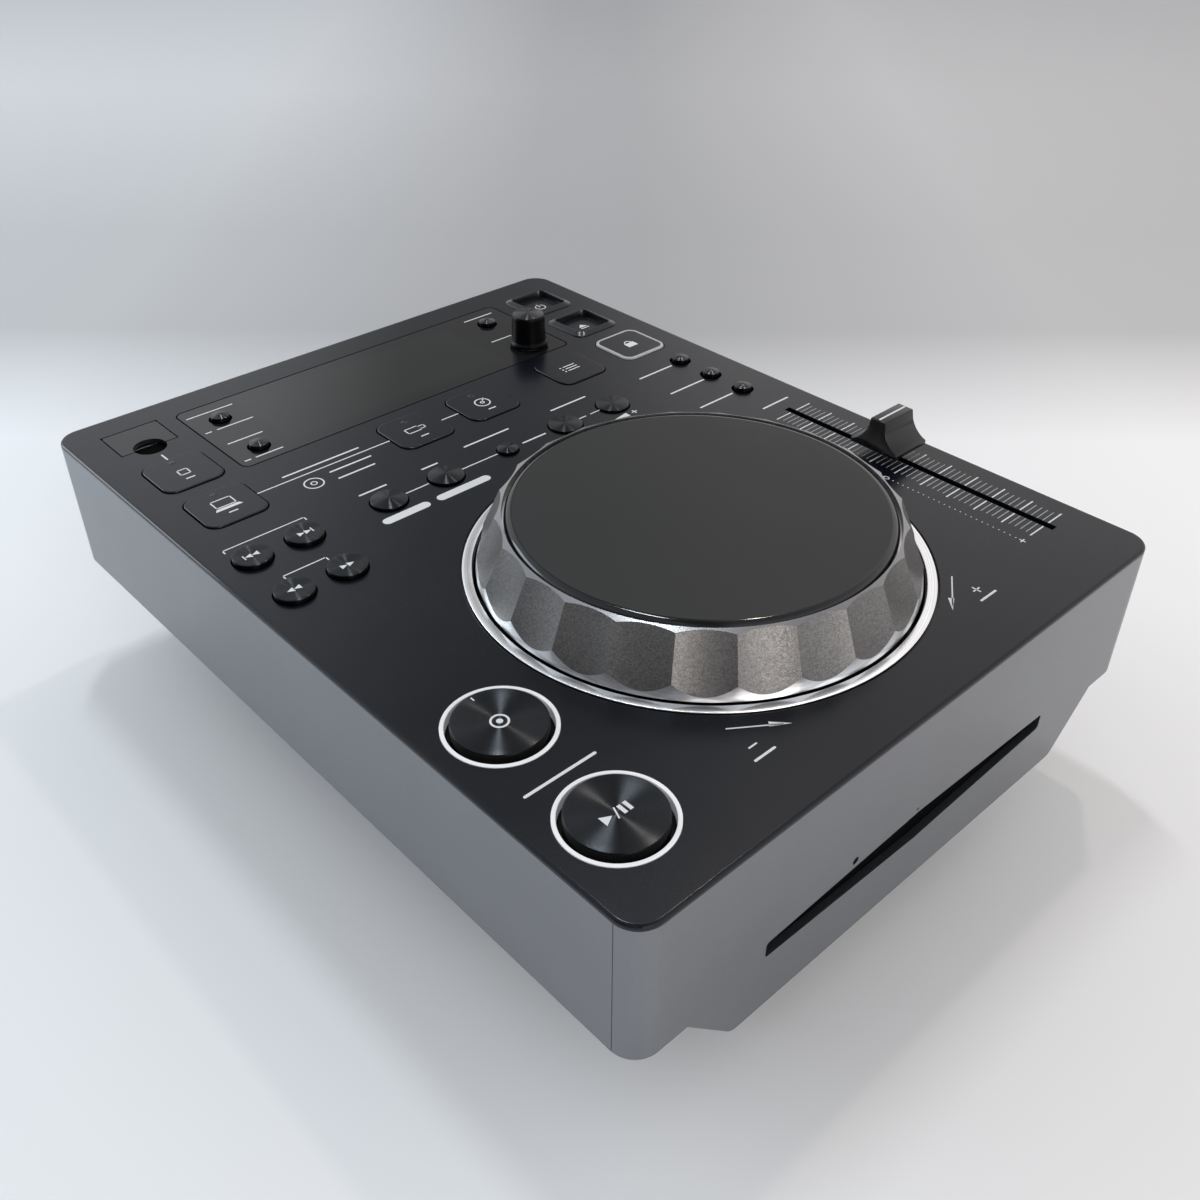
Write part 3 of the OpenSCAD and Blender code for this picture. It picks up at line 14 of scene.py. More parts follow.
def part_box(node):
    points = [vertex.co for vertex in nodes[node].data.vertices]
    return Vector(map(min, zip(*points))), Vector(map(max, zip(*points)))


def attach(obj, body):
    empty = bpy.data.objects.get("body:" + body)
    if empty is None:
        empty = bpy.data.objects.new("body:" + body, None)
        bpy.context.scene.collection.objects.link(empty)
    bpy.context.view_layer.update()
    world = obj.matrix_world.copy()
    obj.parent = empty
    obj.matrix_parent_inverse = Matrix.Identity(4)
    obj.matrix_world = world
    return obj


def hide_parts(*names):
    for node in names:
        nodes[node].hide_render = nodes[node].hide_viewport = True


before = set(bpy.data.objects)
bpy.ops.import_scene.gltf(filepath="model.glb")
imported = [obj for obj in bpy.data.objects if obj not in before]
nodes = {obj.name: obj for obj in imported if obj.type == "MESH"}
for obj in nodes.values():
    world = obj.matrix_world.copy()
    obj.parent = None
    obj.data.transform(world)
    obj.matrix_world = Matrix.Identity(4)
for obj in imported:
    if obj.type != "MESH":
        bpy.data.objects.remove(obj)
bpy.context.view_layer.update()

MM = 0.001
# Heights of the deck's face, of its underside and of the flanges below it, and y of the case's front face
DECK, DECK_UNDER, FLANGE = 89.7, 86.7, 86.49
FRONT = -148.25


def add_node(tree, kind, **settings):
    node = tree.nodes.new(kind)
    for key, value in settings.items():
        setattr(node, key, value)
    return node


def place_in_scene(name, data):
    thing = bpy.data.objects.new(name, data)
    bpy.context.scene.collection.objects.link(thing)
    return thing


# ---------------------------------------------------------------- camera

def aim_camera():
    """The viewing angle: from the front left corner, looking down."""
    stand = Vector((-226.13, -262.66, 296.47)) * MM
    azimuth, elevation, roll = (math.radians(v) for v in (-42.85, 36.3, 0.15))
    back = Vector((
        math.sin(azimuth) * math.cos(elevation),
        -math.cos(azimuth) * math.cos(elevation),
        math.sin(elevation),
    ))
    level = (-back).cross(Vector((0, 0, 1))).normalized()
    upright = level.cross(-back)
    right = level * math.cos(roll) + upright * math.sin(roll)
    up = back.cross(right)
    data = bpy.data.cameras.new("camera")
    data.lens = 37.095
    data.sensor_width = 36
    data.clip_start = 0.01
    data.clip_end = 50
    camera = place_in_scene("camera", data)
    camera.matrix_world = Matrix.Translation(stand) @ Matrix((right, up, back)).transposed().to_4x4()
    bpy.context.scene.camera = camera


aim_camera()
bpy.context.scene.view_settings.view_transform = "Standard"


# ---------------------------------------------------------------- materials

class Wiring:
    """The node tree of a material or of the world, with short calls for the nodes that they share."""

    def __init__(self, name, kept_in=bpy.data.materials, shader="Principled BSDF", place="Object"):
        self.made = kept_in.new(name)
        self.made.use_nodes = True
        self.tree = self.made.node_tree
        self.shader = self.tree.nodes[shader]
        self.place = self.add("ShaderNodeTexCoord").outputs[place]

    def add(self, kind, **settings):
        return add_node(self.tree, kind, **settings)

    def link(self, source, target):
        self.tree.links.new(source, target)

    def split(self, vector):
        node = self.add("ShaderNodeSeparateXYZ")
        self.link(vector, node.inputs[0])
        return node.outputs

    def noise(self, size_mm, detail=2.0, rough=0.55):
        node = self.add("ShaderNodeTexNoise")
        for key, number in (("Scale", 1000 / size_mm), ("Detail", detail), ("Roughness", rough)):
            node.inputs[key].default_value = number
        self.link(self.place, node.inputs["Vector"])
        return node.outputs["Fac"]

    def spread(self, value, low, high, start=0.3, end=0.7):
        node = self.add("ShaderNodeMapRange")
        for key, number in (("From Min", start), ("From Max", end), ("To Min", low), ("To Max", high)):
            node.inputs[key].default_value = number
        self.link(value, node.inputs["Value"])
        return node.outputs["Result"]

    def math(self, operation, first, second=None):
        node = self.add("ShaderNodeMath", operation=operation)
        for socket, value in zip(node.inputs, (first, second)):
            if value is None:
                continue
            if isinstance(value, (int, float)):
                socket.default_value = value
            else:
                self.link(value, socket)
        return node.outputs["Value"]

    def blend(self, factor, first, second):
        node = self.add("ShaderNodeMix", data_type="RGBA")
        self.link(factor, node.inputs["Factor"])
        for socket, colour in ((node.inputs[6], first), (node.inputs[7], second)):
            if isinstance(colour, (tuple, list)):
                socket.default_value = (*colour, 1)
            else:
                self.link(colour, socket)
        return node.outputs[2]

    def bump(self, height, depth_mm, strength, normal=None):
        node = self.add("ShaderNodeBump")
        node.inputs["Strength"].default_value = strength
        node.inputs["Distance"].default_value = depth_mm * MM
        self.link(height, node.inputs["Height"])
        if normal:
            self.link(normal, node.inputs["Normal"])
        return node.outputs["Normal"]

    def soft_edges(self, radius_mm):
        node = self.add("ShaderNodeBevel", samples=4)
        node.inputs["Radius"].default_value = radius_mm * MM
        return node.outputs["Normal"]

    def set(self, **values):
        for key, value in values.items():
            socket = self.shader.inputs[key.replace("_", " ")]
            if isinstance(value, (int, float)):
                socket.default_value = value
            elif isinstance(value, (tuple, list)):
                socket.default_value = (*value, 1) if len(value) == 3 else value
            else:
                self.link(value, socket)


def tint(colour, amount):
    return tuple(c * amount for c in colour)


def moulded(name, colour, rough, grain_mm=0.35, grain_depth=0.004, patch=0.12, edge=0.15, lip=None, **extra):
    """Moulded or painted plastic: a fine grain, slow changes of tone and gloss, soft edges.
    With a lip, faces that tilt away from level are polished to that roughness."""
    w = Wiring(name)
    slow = w.noise(38)
    fine = w.noise(grain_mm, rough=0.6)
    tone = w.blend(w.spread(slow, 0, 1), tint(colour, 1 - patch), tint(colour, 1 + patch))
    gloss = w.math("ADD", w.spread(slow, rough * (1 - patch / 2), rough * (1 + patch / 2)), w.spread(fine, -0.03, 0.03))
    rounded = w.soft_edges(edge) if edge else None
    if lip:
        level = w.split(w.add("ShaderNodeNewGeometry").outputs["Normal"])["Z"]
        tilt = w.spread(level, 0, 1, 0.995, 0.93)
        gloss = w.math("ADD", gloss, w.math("MULTIPLY", tilt, lip - rough))
    w.set(Base_Color=tone, Roughness=gloss, Normal=w.bump(fine, grain_depth, 0.6, rounded), **extra)
    return w.made


def turned(name, colour, rough, metallic, aniso, **extra):
    """A face turned on a lathe: rings of fine grooves round the piece's own axis."""
    w = Wiring(name)
    groove_mm, groove_depth = 0.22, 0.002
    outward = w.split(w.add("ShaderNodeUVMap", uv_map="turned").outputs["UV"])["Y"]
    ring = w.add("ShaderNodeTexNoise", noise_dimensions="1D")
    ring.inputs["Scale"].default_value = 1000 / groove_mm
    ring.inputs["Detail"].default_value = 2.0
    w.link(outward, ring.inputs["W"])
    slow = w.noise(9)
    tone = w.blend(w.spread(ring.outputs["Fac"], 0, 1), tint(colour, 0.82), tint(colour, 1.18))
    tangent = w.add("ShaderNodeTangent", direction_type="UV_MAP", uv_map="turned")
    w.set(
        Base_Color=tone, Metallic=metallic, Roughness=w.spread(slow, rough * 0.9, rough * 1.1),
        Anisotropic=aniso, Tangent=tangent.outputs["Tangent"],
        Normal=w.bump(ring.outputs["Fac"], groove_depth, 0.5), **extra,
    )
    return w.made


def metal(name, colour, rough):
    """Sheet, plated or cast metal with a fine uneven sheen."""
    w = Wiring(name)
    slow = w.noise(12, 3.0)
    fine = w.noise(0.6)
    w.set(
        Base_Color=w.blend(w.spread(slow, 0, 1), tint(colour, 0.9), tint(colour, 1.05)), Metallic=1.0,
        Roughness=w.math("ADD", w.spread(slow, rough * 0.85, rough * 1.15), w.spread(fine, -0.03, 0.03)),
        Normal=w.bump(fine, 0.003, 0.5, w.soft_edges(0.12)),
    )
    return w.made


def flaked(name, colour, rough):
    """Metallic paint: coarse flakes that catch the light one by one, and edges that shine."""
    w = Wiring(name)
    flake_mm = 0.34
    cells = w.add("ShaderNodeTexVoronoi")
    cells.inputs["Scale"].default_value = 1000 / flake_mm
    w.link(w.place, cells.inputs["Vector"])
    flake = w.add("ShaderNodeSeparateColor")
    w.link(cells.outputs["Color"], flake.inputs[0])
    slow = w.noise(7)
    tone = w.blend(w.spread(flake.outputs["Red"], 0, 1, 0, 1), tint(colour, 0.72), tint(colour, 1.35))
    tone = w.blend(w.spread(slow, 0, 0.25), tone, tint(colour, 1.15))
    w.set(
        Base_Color=tone, Metallic=0.85,
        Roughness=w.spread(flake.outputs["Green"], rough * 0.8, rough * 1.2, 0, 1),
        Normal=w.bump(flake.outputs["Blue"], 0.012, 0.55, w.soft_edges(0.22)), Coat_Weight=0.15, Coat_Roughness=0.25,
    )
    return w.made


def smoked_window(name):
    """Dark glass that is flush with the deck, with the display's panel just showing through."""
    w = Wiring(name)
    at = w.split(w.place)
    blur = 0.8

    def inside(axis, low, high):
        rise = w.spread(at[axis], 0, 1, (low - blur) * MM, (low + blur) * MM)
        fall = w.spread(at[axis], 1, 0, (high - blur) * MM, (high + blur) * MM)
        return w.math("MULTIPLY", rise, fall)

    panel = w.math("MULTIPLY", inside("X", -50, 44), inside("Y", 83, 120.6))
    slow = w.noise(60)
    dark = w.blend(w.spread(slow, 0, 1), (0.0075, 0.0078, 0.0085), (0.0095, 0.0098, 0.0105))
    tone = w.blend(panel, dark, (0.0118, 0.0124, 0.0118))
    w.set(Base_Color=tone, Roughness=w.spread(slow, 0.10, 0.15), Normal=w.soft_edges(0.12), Specular_IOR_Level=0.36)
    return w.made


def circuit_board(name):
    """Green board with paler copper fields."""
    w = Wiring(name)
    cells = w.add("ShaderNodeTexVoronoi", distance="CHEBYCHEV", feature="DISTANCE_TO_EDGE")
    cells.inputs["Scale"].default_value = 1000 / 6
    w.link(w.place, cells.inputs["Vector"])
    track = w.spread(cells.outputs["Distance"], 1, 0, 0.02, 0.06)
    slow = w.noise(20)
    tone = w.blend(track, (0.012, 0.085, 0.040), (0.03, 0.16, 0.075))
    w.set(Base_Color=tone, Roughness=w.spread(slow, 0.32, 0.42), Normal=w.bump(track, 0.02, 0.5))
    return w.made


def white_print(name, colour):
    """Screen print: a thin, slightly uneven film of pale ink."""
    w = Wiring(name)
    fine = w.noise(0.25)
    w.set(
        Base_Color=w.blend(w.spread(fine, 0, 1), tint(colour, 0.9), tint(colour, 1.04)),
        Roughness=w.spread(fine, 0.44, 0.56), Normal=w.bump(fine, 0.004, 0.4),
    )
    return w.made


def lens(name, colour, glow):
    """Translucent white lens of a light ring, faintly lit from inside."""
    w = Wiring(name)
    slow = w.noise(4)
    w.set(
        Base_Color=w.blend(w.spread(slow, 0, 1), tint(colour, 0.95), colour),
        Roughness=w.spread(slow, 0.28, 0.36), Subsurface_Weight=0.2,
        Emission_Color=colour, Emission_Strength=glow,
    )
    w.shader.inputs["Subsurface Radius"].default_value = (MM, MM, MM)
    return w.made


DECK_BLUE = (0.0034, 0.0044, 0.0078)
deck_satin = moulded("deck_satin", DECK_BLUE, 0.24, grain_depth=0.0015, edge=0.2, lip=0.1, Specular_IOR_Level=0.32)
key_satin = moulded("key_satin", DECK_BLUE, 0.24, grain_depth=0.0015, edge=0, Specular_IOR_Level=0.32)
wall_satin = moulded("wall_satin", (0.222, 0.23, 0.245), 0.30, grain_mm=0.28, patch=0.03, edge=0.2, Metallic=0.95)
flap_satin = moulded("flap_satin", (0.007, 0.0075, 0.009), 0.36, edge=0.2)
guard_satin = moulded("guard_satin", (0.005, 0.0055, 0.007), 0.2, grain_depth=0.001, edge=0)
plate_matte = moulded("plate_matte", (0.0085, 0.0092, 0.0088), 0.5, grain_mm=0.22, grain_depth=0.006, edge=0,
                      Specular_IOR_Level=0.33)
plate_rim = moulded("plate_rim", (0.004, 0.004, 0.0045), 0.10, grain_depth=0.0, edge=0)
slider_satin = moulded("slider_satin", (0.0035, 0.0035, 0.004), 0.2, edge=0, Specular_IOR_Level=0.42)
knob_gloss = moulded("knob_gloss", (0.0012, 0.0012, 0.0014), 0.26, grain_depth=0.001, edge=0, Specular_IOR_Level=0.11)
foot_rubber = moulded("foot_rubber", (0.02, 0.02, 0.02), 0.75, grain_mm=0.5, grain_depth=0.02, edge=0.3)
inner_black = moulded("inner_black", (0.018, 0.018, 0.019), 0.5, edge=0.2)
jack_black = moulded("jack_black", (0.02, 0.02, 0.02), 0.35, edge=0.2)
steel_black = moulded("steel_black", (0.022, 0.022, 0.023), 0.48, grain_mm=0.5, grain_depth=0.012, edge=0.2)
# Near-black that barely reflects: the colour of the slot's brushes, and painted shade where it fills the window's gap
# and the flap's notch
deep_black = moulded("deep_black", (0.0006, 0.0006, 0.0006), 0.9, grain_mm=0.5, grain_depth=0.02, edge=0,
                     Specular_IOR_Level=0.05)
cap_spun = turned("cap_spun", (0.033, 0.0355, 0.039), 0.27, 0.95, aniso=1.0, Anisotropic_Rotation=0.25)
peg_chrome = turned("peg_chrome", (0.07, 0.07, 0.075), 0.26, 1.0, aniso=1.0, Anisotropic_Rotation=0.25)
trim_silver = turned("trim_silver", (0.86, 0.86, 0.87), 0.24, 1.0, aniso=0.5)
dial_rim = turned("dial_rim", (0.27, 0.27, 0.28), 0.26, 1.0, aniso=0.4)
dial_skirt = turned("dial_skirt", (0.74, 0.74, 0.745), 0.36, 1.0, aniso=0.2)
dial_flake = flaked("dial_flake", (0.176, 0.169, 0.164), 0.42)
steel_plain = metal("steel_plain", (0.56, 0.56, 0.57), 0.36)
screw_steel = metal("screw_steel", (0.45, 0.45, 0.46), 0.3)
window_smoke = smoked_window("window_smoke")
board_green = circuit_board("board_green")
ink = white_print("ink", (0.70, 0.70, 0.70))
ink_dim = white_print("ink_dim", (0.30, 0.30, 0.31))
ring_lens = lens("ring_lens", (0.82, 0.82, 0.82), 0.12)
key_lens = lens("key_lens", (0.42, 0.42, 0.42), 0.02)
lamp_dark = moulded("lamp_dark", (0.002, 0.002, 0.002), 0.2, edge=0)

CAD_FINISH = {
    deck_satin: ["top_panel"],
    wall_satin: ["side_shell", "front_fascia"],
    steel_black: ["rear_panel", "bottom_chassis", "slider_housing"],
    foot_rubber: ["feet"],
    screw_steel: ["screws", "jog_shaft", "selector_shaft", "lead_screw"],
    window_smoke: ["display_window"],
    inner_black: ["display_module", "jog_base", "feed_roller", "turntable", "pickup_sled"],
    board_green: ["control_board", "main_board", "power_unit"],
    flap_satin: ["usb_flap"],
    steel_plain: ["selector_encoder", "slider_carriage", "usb_socket", "drive_frame",
                  "disc_clamp", "drive_motors"],
    jack_black: ["rear_jacks"],
}
for material, names in CAD_FINISH.items():
    for name in names:
        nodes[name].data.materials.clear()
        nodes[name].data.materials.append(material)


# ---------------------------------------------------------------- mesh helpers

def mesh_of(name, points, faces):
    """A mesh from points in millimetres."""
    mesh = bpy.data.meshes.new(name)
    mesh.from_pydata([tuple(c * MM for c in p) for p in points], [], faces)
    return mesh


def plain(thing):
    """The mesh that an object's modifiers make. The object and its own mesh go."""
    seed = thing.data
    made = bpy.data.meshes.new_from_object(thing.evaluated_get(bpy.context.evaluated_depsgraph_get()))
    bpy.data.objects.remove(thing)
    bpy.data.meshes.remove(seed)
    return made


def piece(name, points, faces, body, materials, replaced=(), face_materials=None, sharp=30, uvs=None):
    """A finished piece, at the origin and riding on its body."""
    mesh = mesh_of(name, points, faces)
    for material in materials:
        mesh.materials.append(material)
    if face_materials:
        mesh.polygons.foreach_set("material_index", face_materials)
    if uvs:
        layer = mesh.uv_layers.new(name="turned")
        layer.data.foreach_set("uv", [c for uv in uvs for c in uv])
    return settle(name, mesh, body, replaced, sharp)


def settle(name, mesh, body, replaced=(), sharp=35):
    """Shades a mesh, makes it an object, gives it its body and hides the parts that it replaces."""
    mesh.validate()
    mesh.shade_smooth()
    mesh.set_sharp_from_angle(angle=math.radians(sharp))
    mesh.update()
    thing = place_in_scene(name, mesh)
    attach(thing, body)
    if replaced:
        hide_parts(*replaced)
    return thing


def arc(points, radii, steps=4):
    """A line of (a, b) points with its inner corners rounded by the radii."""
    out = []
    for i, p in enumerate(points):
        r = radii[i]
        if not r or i in (0, len(points) - 1):
            out.append(p)
            continue
        here, before, after = Vector(p), Vector(points[i - 1]), Vector(points[i + 1])
        u, v = (before - here).normalized(), (after - here).normalized()
        half = math.acos(max(-1, min(1, u.dot(v)))) / 2
        centre = here + (u + v).normalized() * (r / math.sin(half))
        a = here + u * (r / math.tan(half)) - centre
        b = here + v * (r / math.tan(half)) - centre
        start, sweep = math.atan2(a.y, a.x), math.atan2(b.y, b.x) - math.atan2(a.y, a.x)
        sweep = (sweep + math.pi) % (2 * math.pi) - math.pi
        for k in range(steps + 1):
            t = start + sweep * k / steps
            out.append((centre.x + r * math.cos(t), centre.y + r * math.sin(t)))
    return out


def turn(profile, centre, segments=96):
    """Points, faces and UVs of a profile of (radius, height) turned round an upright axis.
    The profile runs from below to above on the outside. One that doesn't end on the axis is a closed ring."""
    cx, cy = centre
    closed = profile[0][0] > 1e-6
    rows, points, faces, uvs = [], [], [], []
    run, v = 0.0, []
    for i, (r, z) in enumerate(profile):
        if i:
            run += math.dist(profile[i - 1], (r, z))
        v.append(run * MM)
        if r < 1e-6:
            rows.append([len(points)] * (segments + 1))
            points.append((cx, cy, z))
        else:
            first = len(points)
            for k in range(segments):
                t = 2 * math.pi * k / segments
                points.append((cx + r * math.cos(t), cy + r * math.sin(t), z))
            rows.append([first + k for k in range(segments)] + [first])
    if closed:
        rows.append(rows[0])
        v.append(run * MM + math.dist(profile[-1], profile[0]) * MM)
    for i in range(len(rows) - 1):
        for k in range(segments):
            # Corners that fall together on the axis count once
            kept = {}
            for row, column in ((i, k), (i, k + 1), (i + 1, k + 1), (i + 1, k)):
                kept.setdefault(rows[row][column], (column / segments, v[row]))
            if len(kept) > 2:
                faces.append(list(kept))
                uvs += kept.values()
    return points, faces, uvs


def square_ring(w, d, r, z, centre, steps=6):
    """A level ring of points: a rectangle with round corners."""
    cx, cy = centre
    ring = []
    for k, (sx, sy) in enumerate(((1, 1), (-1, 1), (-1, -1), (1, -1))):
        for i in range(steps + 1):
            t = math.pi / 2 * (k + i / steps)
            ring.append((cx + sx * (w / 2 - r) + r * math.cos(t), cy + sy * (d / 2 - r) + r * math.sin(t), z))
    return ring


def loft(rings, closed=False):
    """Skin over rings of as many points each, from below to above on the outside.
    It is closed by its end faces, or by joining the last ring to the first."""
    count, rows = len(rings[0]), len(rings)
    faces = []
    for i in range(rows if closed else rows - 1):
        a, b = i * count, (i + 1) % rows * count
        faces += [[a + k, a + (k + 1) % count, b + (k + 1) % count, b + k] for k in range(count)]
    if not closed:
        faces += [list(range(count))[::-1], list(range((rows - 1) * count, rows * count))]
    return [p for ring in rings for p in ring], faces


def join(parts):
    """Several (points, faces) in one."""
    points, faces = [], []
    for more_points, more_faces in parts:
        faces += [[len(points) + i for i in f] for f in more_faces]
        points += more_points
    return points, faces


def last_faces(faces, count):
    """Marks the last faces 1 and the others 0."""
    return [0] * (len(faces) - count) + [1] * count


def middle(node):
    """The middle of a node's box, seen from above, and the heights of its underside and top."""
    low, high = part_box(node)
    centre = (low + high) / 2 / MM
    return (centre.x, centre.y), low.z / MM, high.z / MM


# ---------------------------------------------------------------- repeating with geometry nodes

def repeat_tree(name, own_inputs, around=False):
    """Repeats a shape in a straight row, or round an upright axis with the copies welded where they meet."""
    tree = bpy.data.node_groups.new(name, "GeometryNodeTree")
    for label, kind in (("Geometry", "Geometry"), ("Count", "Int"), *own_inputs, ("Material", "Material")):
        tree.interface.new_socket(label, in_out="INPUT", socket_type="NodeSocket" + kind)
    tree.interface.new_socket("Geometry", in_out="OUTPUT", socket_type="NodeSocketGeometry")
    given, made = add_node(tree, "NodeGroupInput"), add_node(tree, "NodeGroupOutput")
    line = add_node(tree, "GeometryNodeMeshLine", mode="OFFSET")
    copies = add_node(tree, "GeometryNodeInstanceOnPoints")
    real = last = add_node(tree, "GeometryNodeRealizeInstances")
    paint = add_node(tree, "GeometryNodeSetMaterial")
    wires = [(given, "Count", line, "Count"), (line, "Mesh", copies, "Points"),
             (given, "Geometry", copies, "Instance"), (copies, "Instances", real, "Geometry")]
    if around:
        line.inputs["Offset"].default_value = (0, 0, 0)
        index = add_node(tree, "GeometryNodeInputIndex")
        share = add_node(tree, "ShaderNodeMath", operation="DIVIDE")
        share.inputs[0].default_value = 2 * math.pi
        angle = add_node(tree, "ShaderNodeMath", operation="MULTIPLY")
        spin = add_node(tree, "FunctionNodeAxisAngleToRotation")
        last = add_node(tree, "GeometryNodeMergeByDistance")
        wires += [(given, "Axis", line, "Start Location"), (given, "Count", share, 1), (share, 0, angle, 0),
                  (index, 0, angle, 1), (angle, 0, spin, "Angle"), (spin, "Rotation", copies, "Rotation"),
                  (real, "Geometry", last, "Geometry"), (given, "Weld", last, "Distance")]
    else:
        wires.append((given, "Step", line, "Offset"))
    wires += [(last, "Geometry", paint, "Geometry"), (given, "Material", paint, "Material"),
              (paint, "Geometry", made, "Geometry")]
    for source, leaves, target, enters in wires:
        tree.links.new(source.outputs[leaves], target.inputs[enters])
    return tree


REPEAT_ROW = repeat_tree("repeat_in_a_row", [("Step", "Vector")])
REPEAT_ROUND = repeat_tree("repeat_round_an_axis", [("Axis", "Vector"), ("Weld", "Float")], around=True)


def repeated(points, faces, tree, inputs, zones=None):
    """The mesh that a tree makes of a shape, as a plain mesh that keeps the zones of its faces."""
    mesh = mesh_of("seed", points, faces)
    if zones:
        mesh.attributes.new("zone", "INT", "FACE").data.foreach_set("value", zones)
    seed = place_in_scene("seed", mesh)
    modifier = seed.modifiers.new("repeat", "NODES")
    modifier.node_group = tree
    for item in tree.interface.items_tree:
        if item.item_type == "SOCKET" and item.in_out == "INPUT" and item.name in inputs:
            modifier[item.identifier] = inputs[item.name]
    return plain(seed)


# ---------------------------------------------------------------- jog wheel

# The wheel's middle, then radii, and heights above the deck, of its skirt, ridges, scallops, top plate and rim
JOG = (1.1, FRONT + 88.1)
SKIRT_R, RIDGE_R, DIAL_RISE, FLARE = 65.0, 59.5, 17.1, 0.6
SCALLOPS, SCALLOP_R, SCALLOP_DEPTH = 24, 42.0, 1.3
PLATE_R, PLATE_RISE = 56.8, 18.2
WELL_R, RIM_RISE = PLATE_R + 0.6, DIAL_RISE + 0.7
LEAN = math.atan2(SKIRT_R - RIDGE_R + SCALLOP_DEPTH, DIAL_RISE - 1.2)


def scallop_radius(angle, height):
    """Distance from the axis to a scallop's face, at an angle from the scallop's middle."""
    long_half = SCALLOP_R / math.cos(LEAN)
    centre = RIDGE_R - SCALLOP_DEPTH + long_half - (height - DIAL_RISE) * math.tan(LEAN)
    a = (math.sin(angle) / SCALLOP_R) ** 2 + (math.cos(angle) / long_half) ** 2
    b = -2 * centre * math.cos(angle) / long_half ** 2
    c = (centre / long_half) ** 2 - 1
    return (-b - math.sqrt(b * b - 4 * a * c)) / (2 * a)


BODY_LINE = [(SKIRT_R, 0.0), (SKIRT_R, 5.0), (RIDGE_R + 0.9, DIAL_RISE - 0.3), (WELL_R, RIM_RISE)]


def body_radius(height):
    """Radius of the dial's turned body, before it is scooped."""
    for (r0, z0), (r1, z1) in zip(BODY_LINE, BODY_LINE[1:]):
        if height <= z1:
            return r0 + (r1 - r0) * max(0.0, (height - z0) / (z1 - z0))
    return BODY_LINE[-1][0]


def crossing(angle, low, high):
    """Height between two heights at which a scallop's face leaves the turned body."""
    cut = scallop_radius(angle, low) < body_radius(low)
    for _ in range(40):
        mid = (low + high) / 2
        if (scallop_radius(angle, mid) < body_radius(mid)) == cut:
            low = mid
        else:
            high = mid
    return (low + high) / 2


def dial_sector():
    """One scallop of the dial with its share of the skirt, the rim and the inside.
    Its faces are marked 0 for the scallop, 1 for the skirt and the inside and 2 for the rim."""
    columns, face_rows, skirt_rows, rim_rows = 20, 14, 4, 3
    half = math.pi / SCALLOPS
    inner = [
        (WELL_R, 14.6), (12, 14.6), (12, 11.6), (3, 11.6), (3, 4), (8, 4), (8, 9.1), (RIDGE_R - 6, 9.1),
        (SKIRT_R - 4, 3), (SKIRT_R - 4, -1.6),
    ]
    grid = []
    for i in range(columns + 1):
        angle = half * (-1 + 2 * i / columns)
        low = crossing(angle, 0.0, 10.0)
        high = crossing(angle, 10.0, RIM_RISE)
        line = [(SKIRT_R - 1.5, -1.6), (SKIRT_R - 1.5, -0.4), (SKIRT_R + FLARE - 0.15, 0.0)]
        line += [(SKIRT_R + FLARE * (1 - t) ** 1.5, 0.15 + (low - 0.15) * t) for t in
                 (k / skirt_rows for k in range(skirt_rows))]
        heights = [low + (high - low) * k / face_rows for k in range(face_rows + 1)]
        line += [(scallop_radius(angle, z), z) for z in heights]
        edge_r = line[-1][0]
        line += [(edge_r + (WELL_R - edge_r) * k / rim_rows, high + (RIM_RISE - high) * k / rim_rows)
                 for k in range(1, rim_rows + 1)]
        line += inner
        grid.append([(r * math.sin(angle), -r * math.cos(angle), DECK + z) for r, z in line])
    rows = len(grid[0])
    points = [p for line in grid for p in line]
    face_start = 3 + skirt_rows
    rim_start = face_start + face_rows
    faces, zones = [], []
    for i in range(columns):
        for k in range(rows):
            n = (k + 1) % rows
            faces.append([i * rows + k, (i + 1) * rows + k, (i + 1) * rows + n, i * rows + n])
            zones.append(0 if face_start <= k < rim_start else 2 if rim_start <= k < rim_start + rim_rows else 1)
    return points, faces, zones


def make_dial():
    points, faces, zones = dial_sector()
    mesh = repeated(points, faces, REPEAT_ROUND, {
        "Count": SCALLOPS, "Axis": (JOG[0] * MM, JOG[1] * MM, 0.0), "Weld": 0.000005, "Material": dial_flake}, zones)
    mesh.materials.clear()
    for material in (dial_flake, dial_skirt, dial_rim):
        mesh.materials.append(material)
    for polygon, zone in zip(mesh.polygons, mesh.attributes["zone"].data):
        polygon.material_index = zone.value
    # Rings of UV for the turned skirt and rim
    layer = mesh.uv_layers.new(name="turned")
    for polygon in mesh.polygons:
        corners = [(mesh.vertices[mesh.loops[k].vertex_index].co, k) for k in polygon.loop_indices]
        turns = [math.atan2(co.y - JOG[1] * MM, co.x - JOG[0] * MM) / (2 * math.pi) for co, _ in corners]
        for (co, k), a in zip(corners, turns):
            a += 1 if a - turns[0] < -0.5 else -1 if a - turns[0] > 0.5 else 0
            layer.data[k].uv = (a, co.z + math.hypot(co.x - JOG[0] * MM, co.y - JOG[1] * MM))
    return settle("jog_dial_shell", mesh, "jog", ["jog_dial"], sharp=14)


make_dial()

JOG_SIDES = 192
plate_under, plate_top = DECK + 15.2, DECK + PLATE_RISE
points, faces, uvs = turn(arc([
    (0, plate_top - 2), (PLATE_R - 4, plate_top - 2), (PLATE_R - 4, plate_under), (PLATE_R, plate_under),
    (PLATE_R, plate_top), (0, plate_top),
], [0, 0, 0, 0.2, 2.4, 0], 12), JOG, JOG_SIDES)
piece("jog_top_plate", points, faces, "jog_plate", [plate_rim, plate_matte], ["jog_plate"],
      last_faces(faces, JOG_SIDES), 40, uvs)

ring_line = arc([(66.7, DECK - 1.1), (69.6, DECK - 1.1), (69.6, DECK + 0.2), (66.7, DECK + 0.2), (66.7, DECK - 0.5)],
                [0, 0, 0.18, 0.18, 0], 3)
points, faces, uvs = turn(ring_line, JOG, JOG_SIDES)
piece("jog_trim", points, faces, "root", [trim_silver], ["jog_trim_ring"], sharp=40, uvs=uvs)


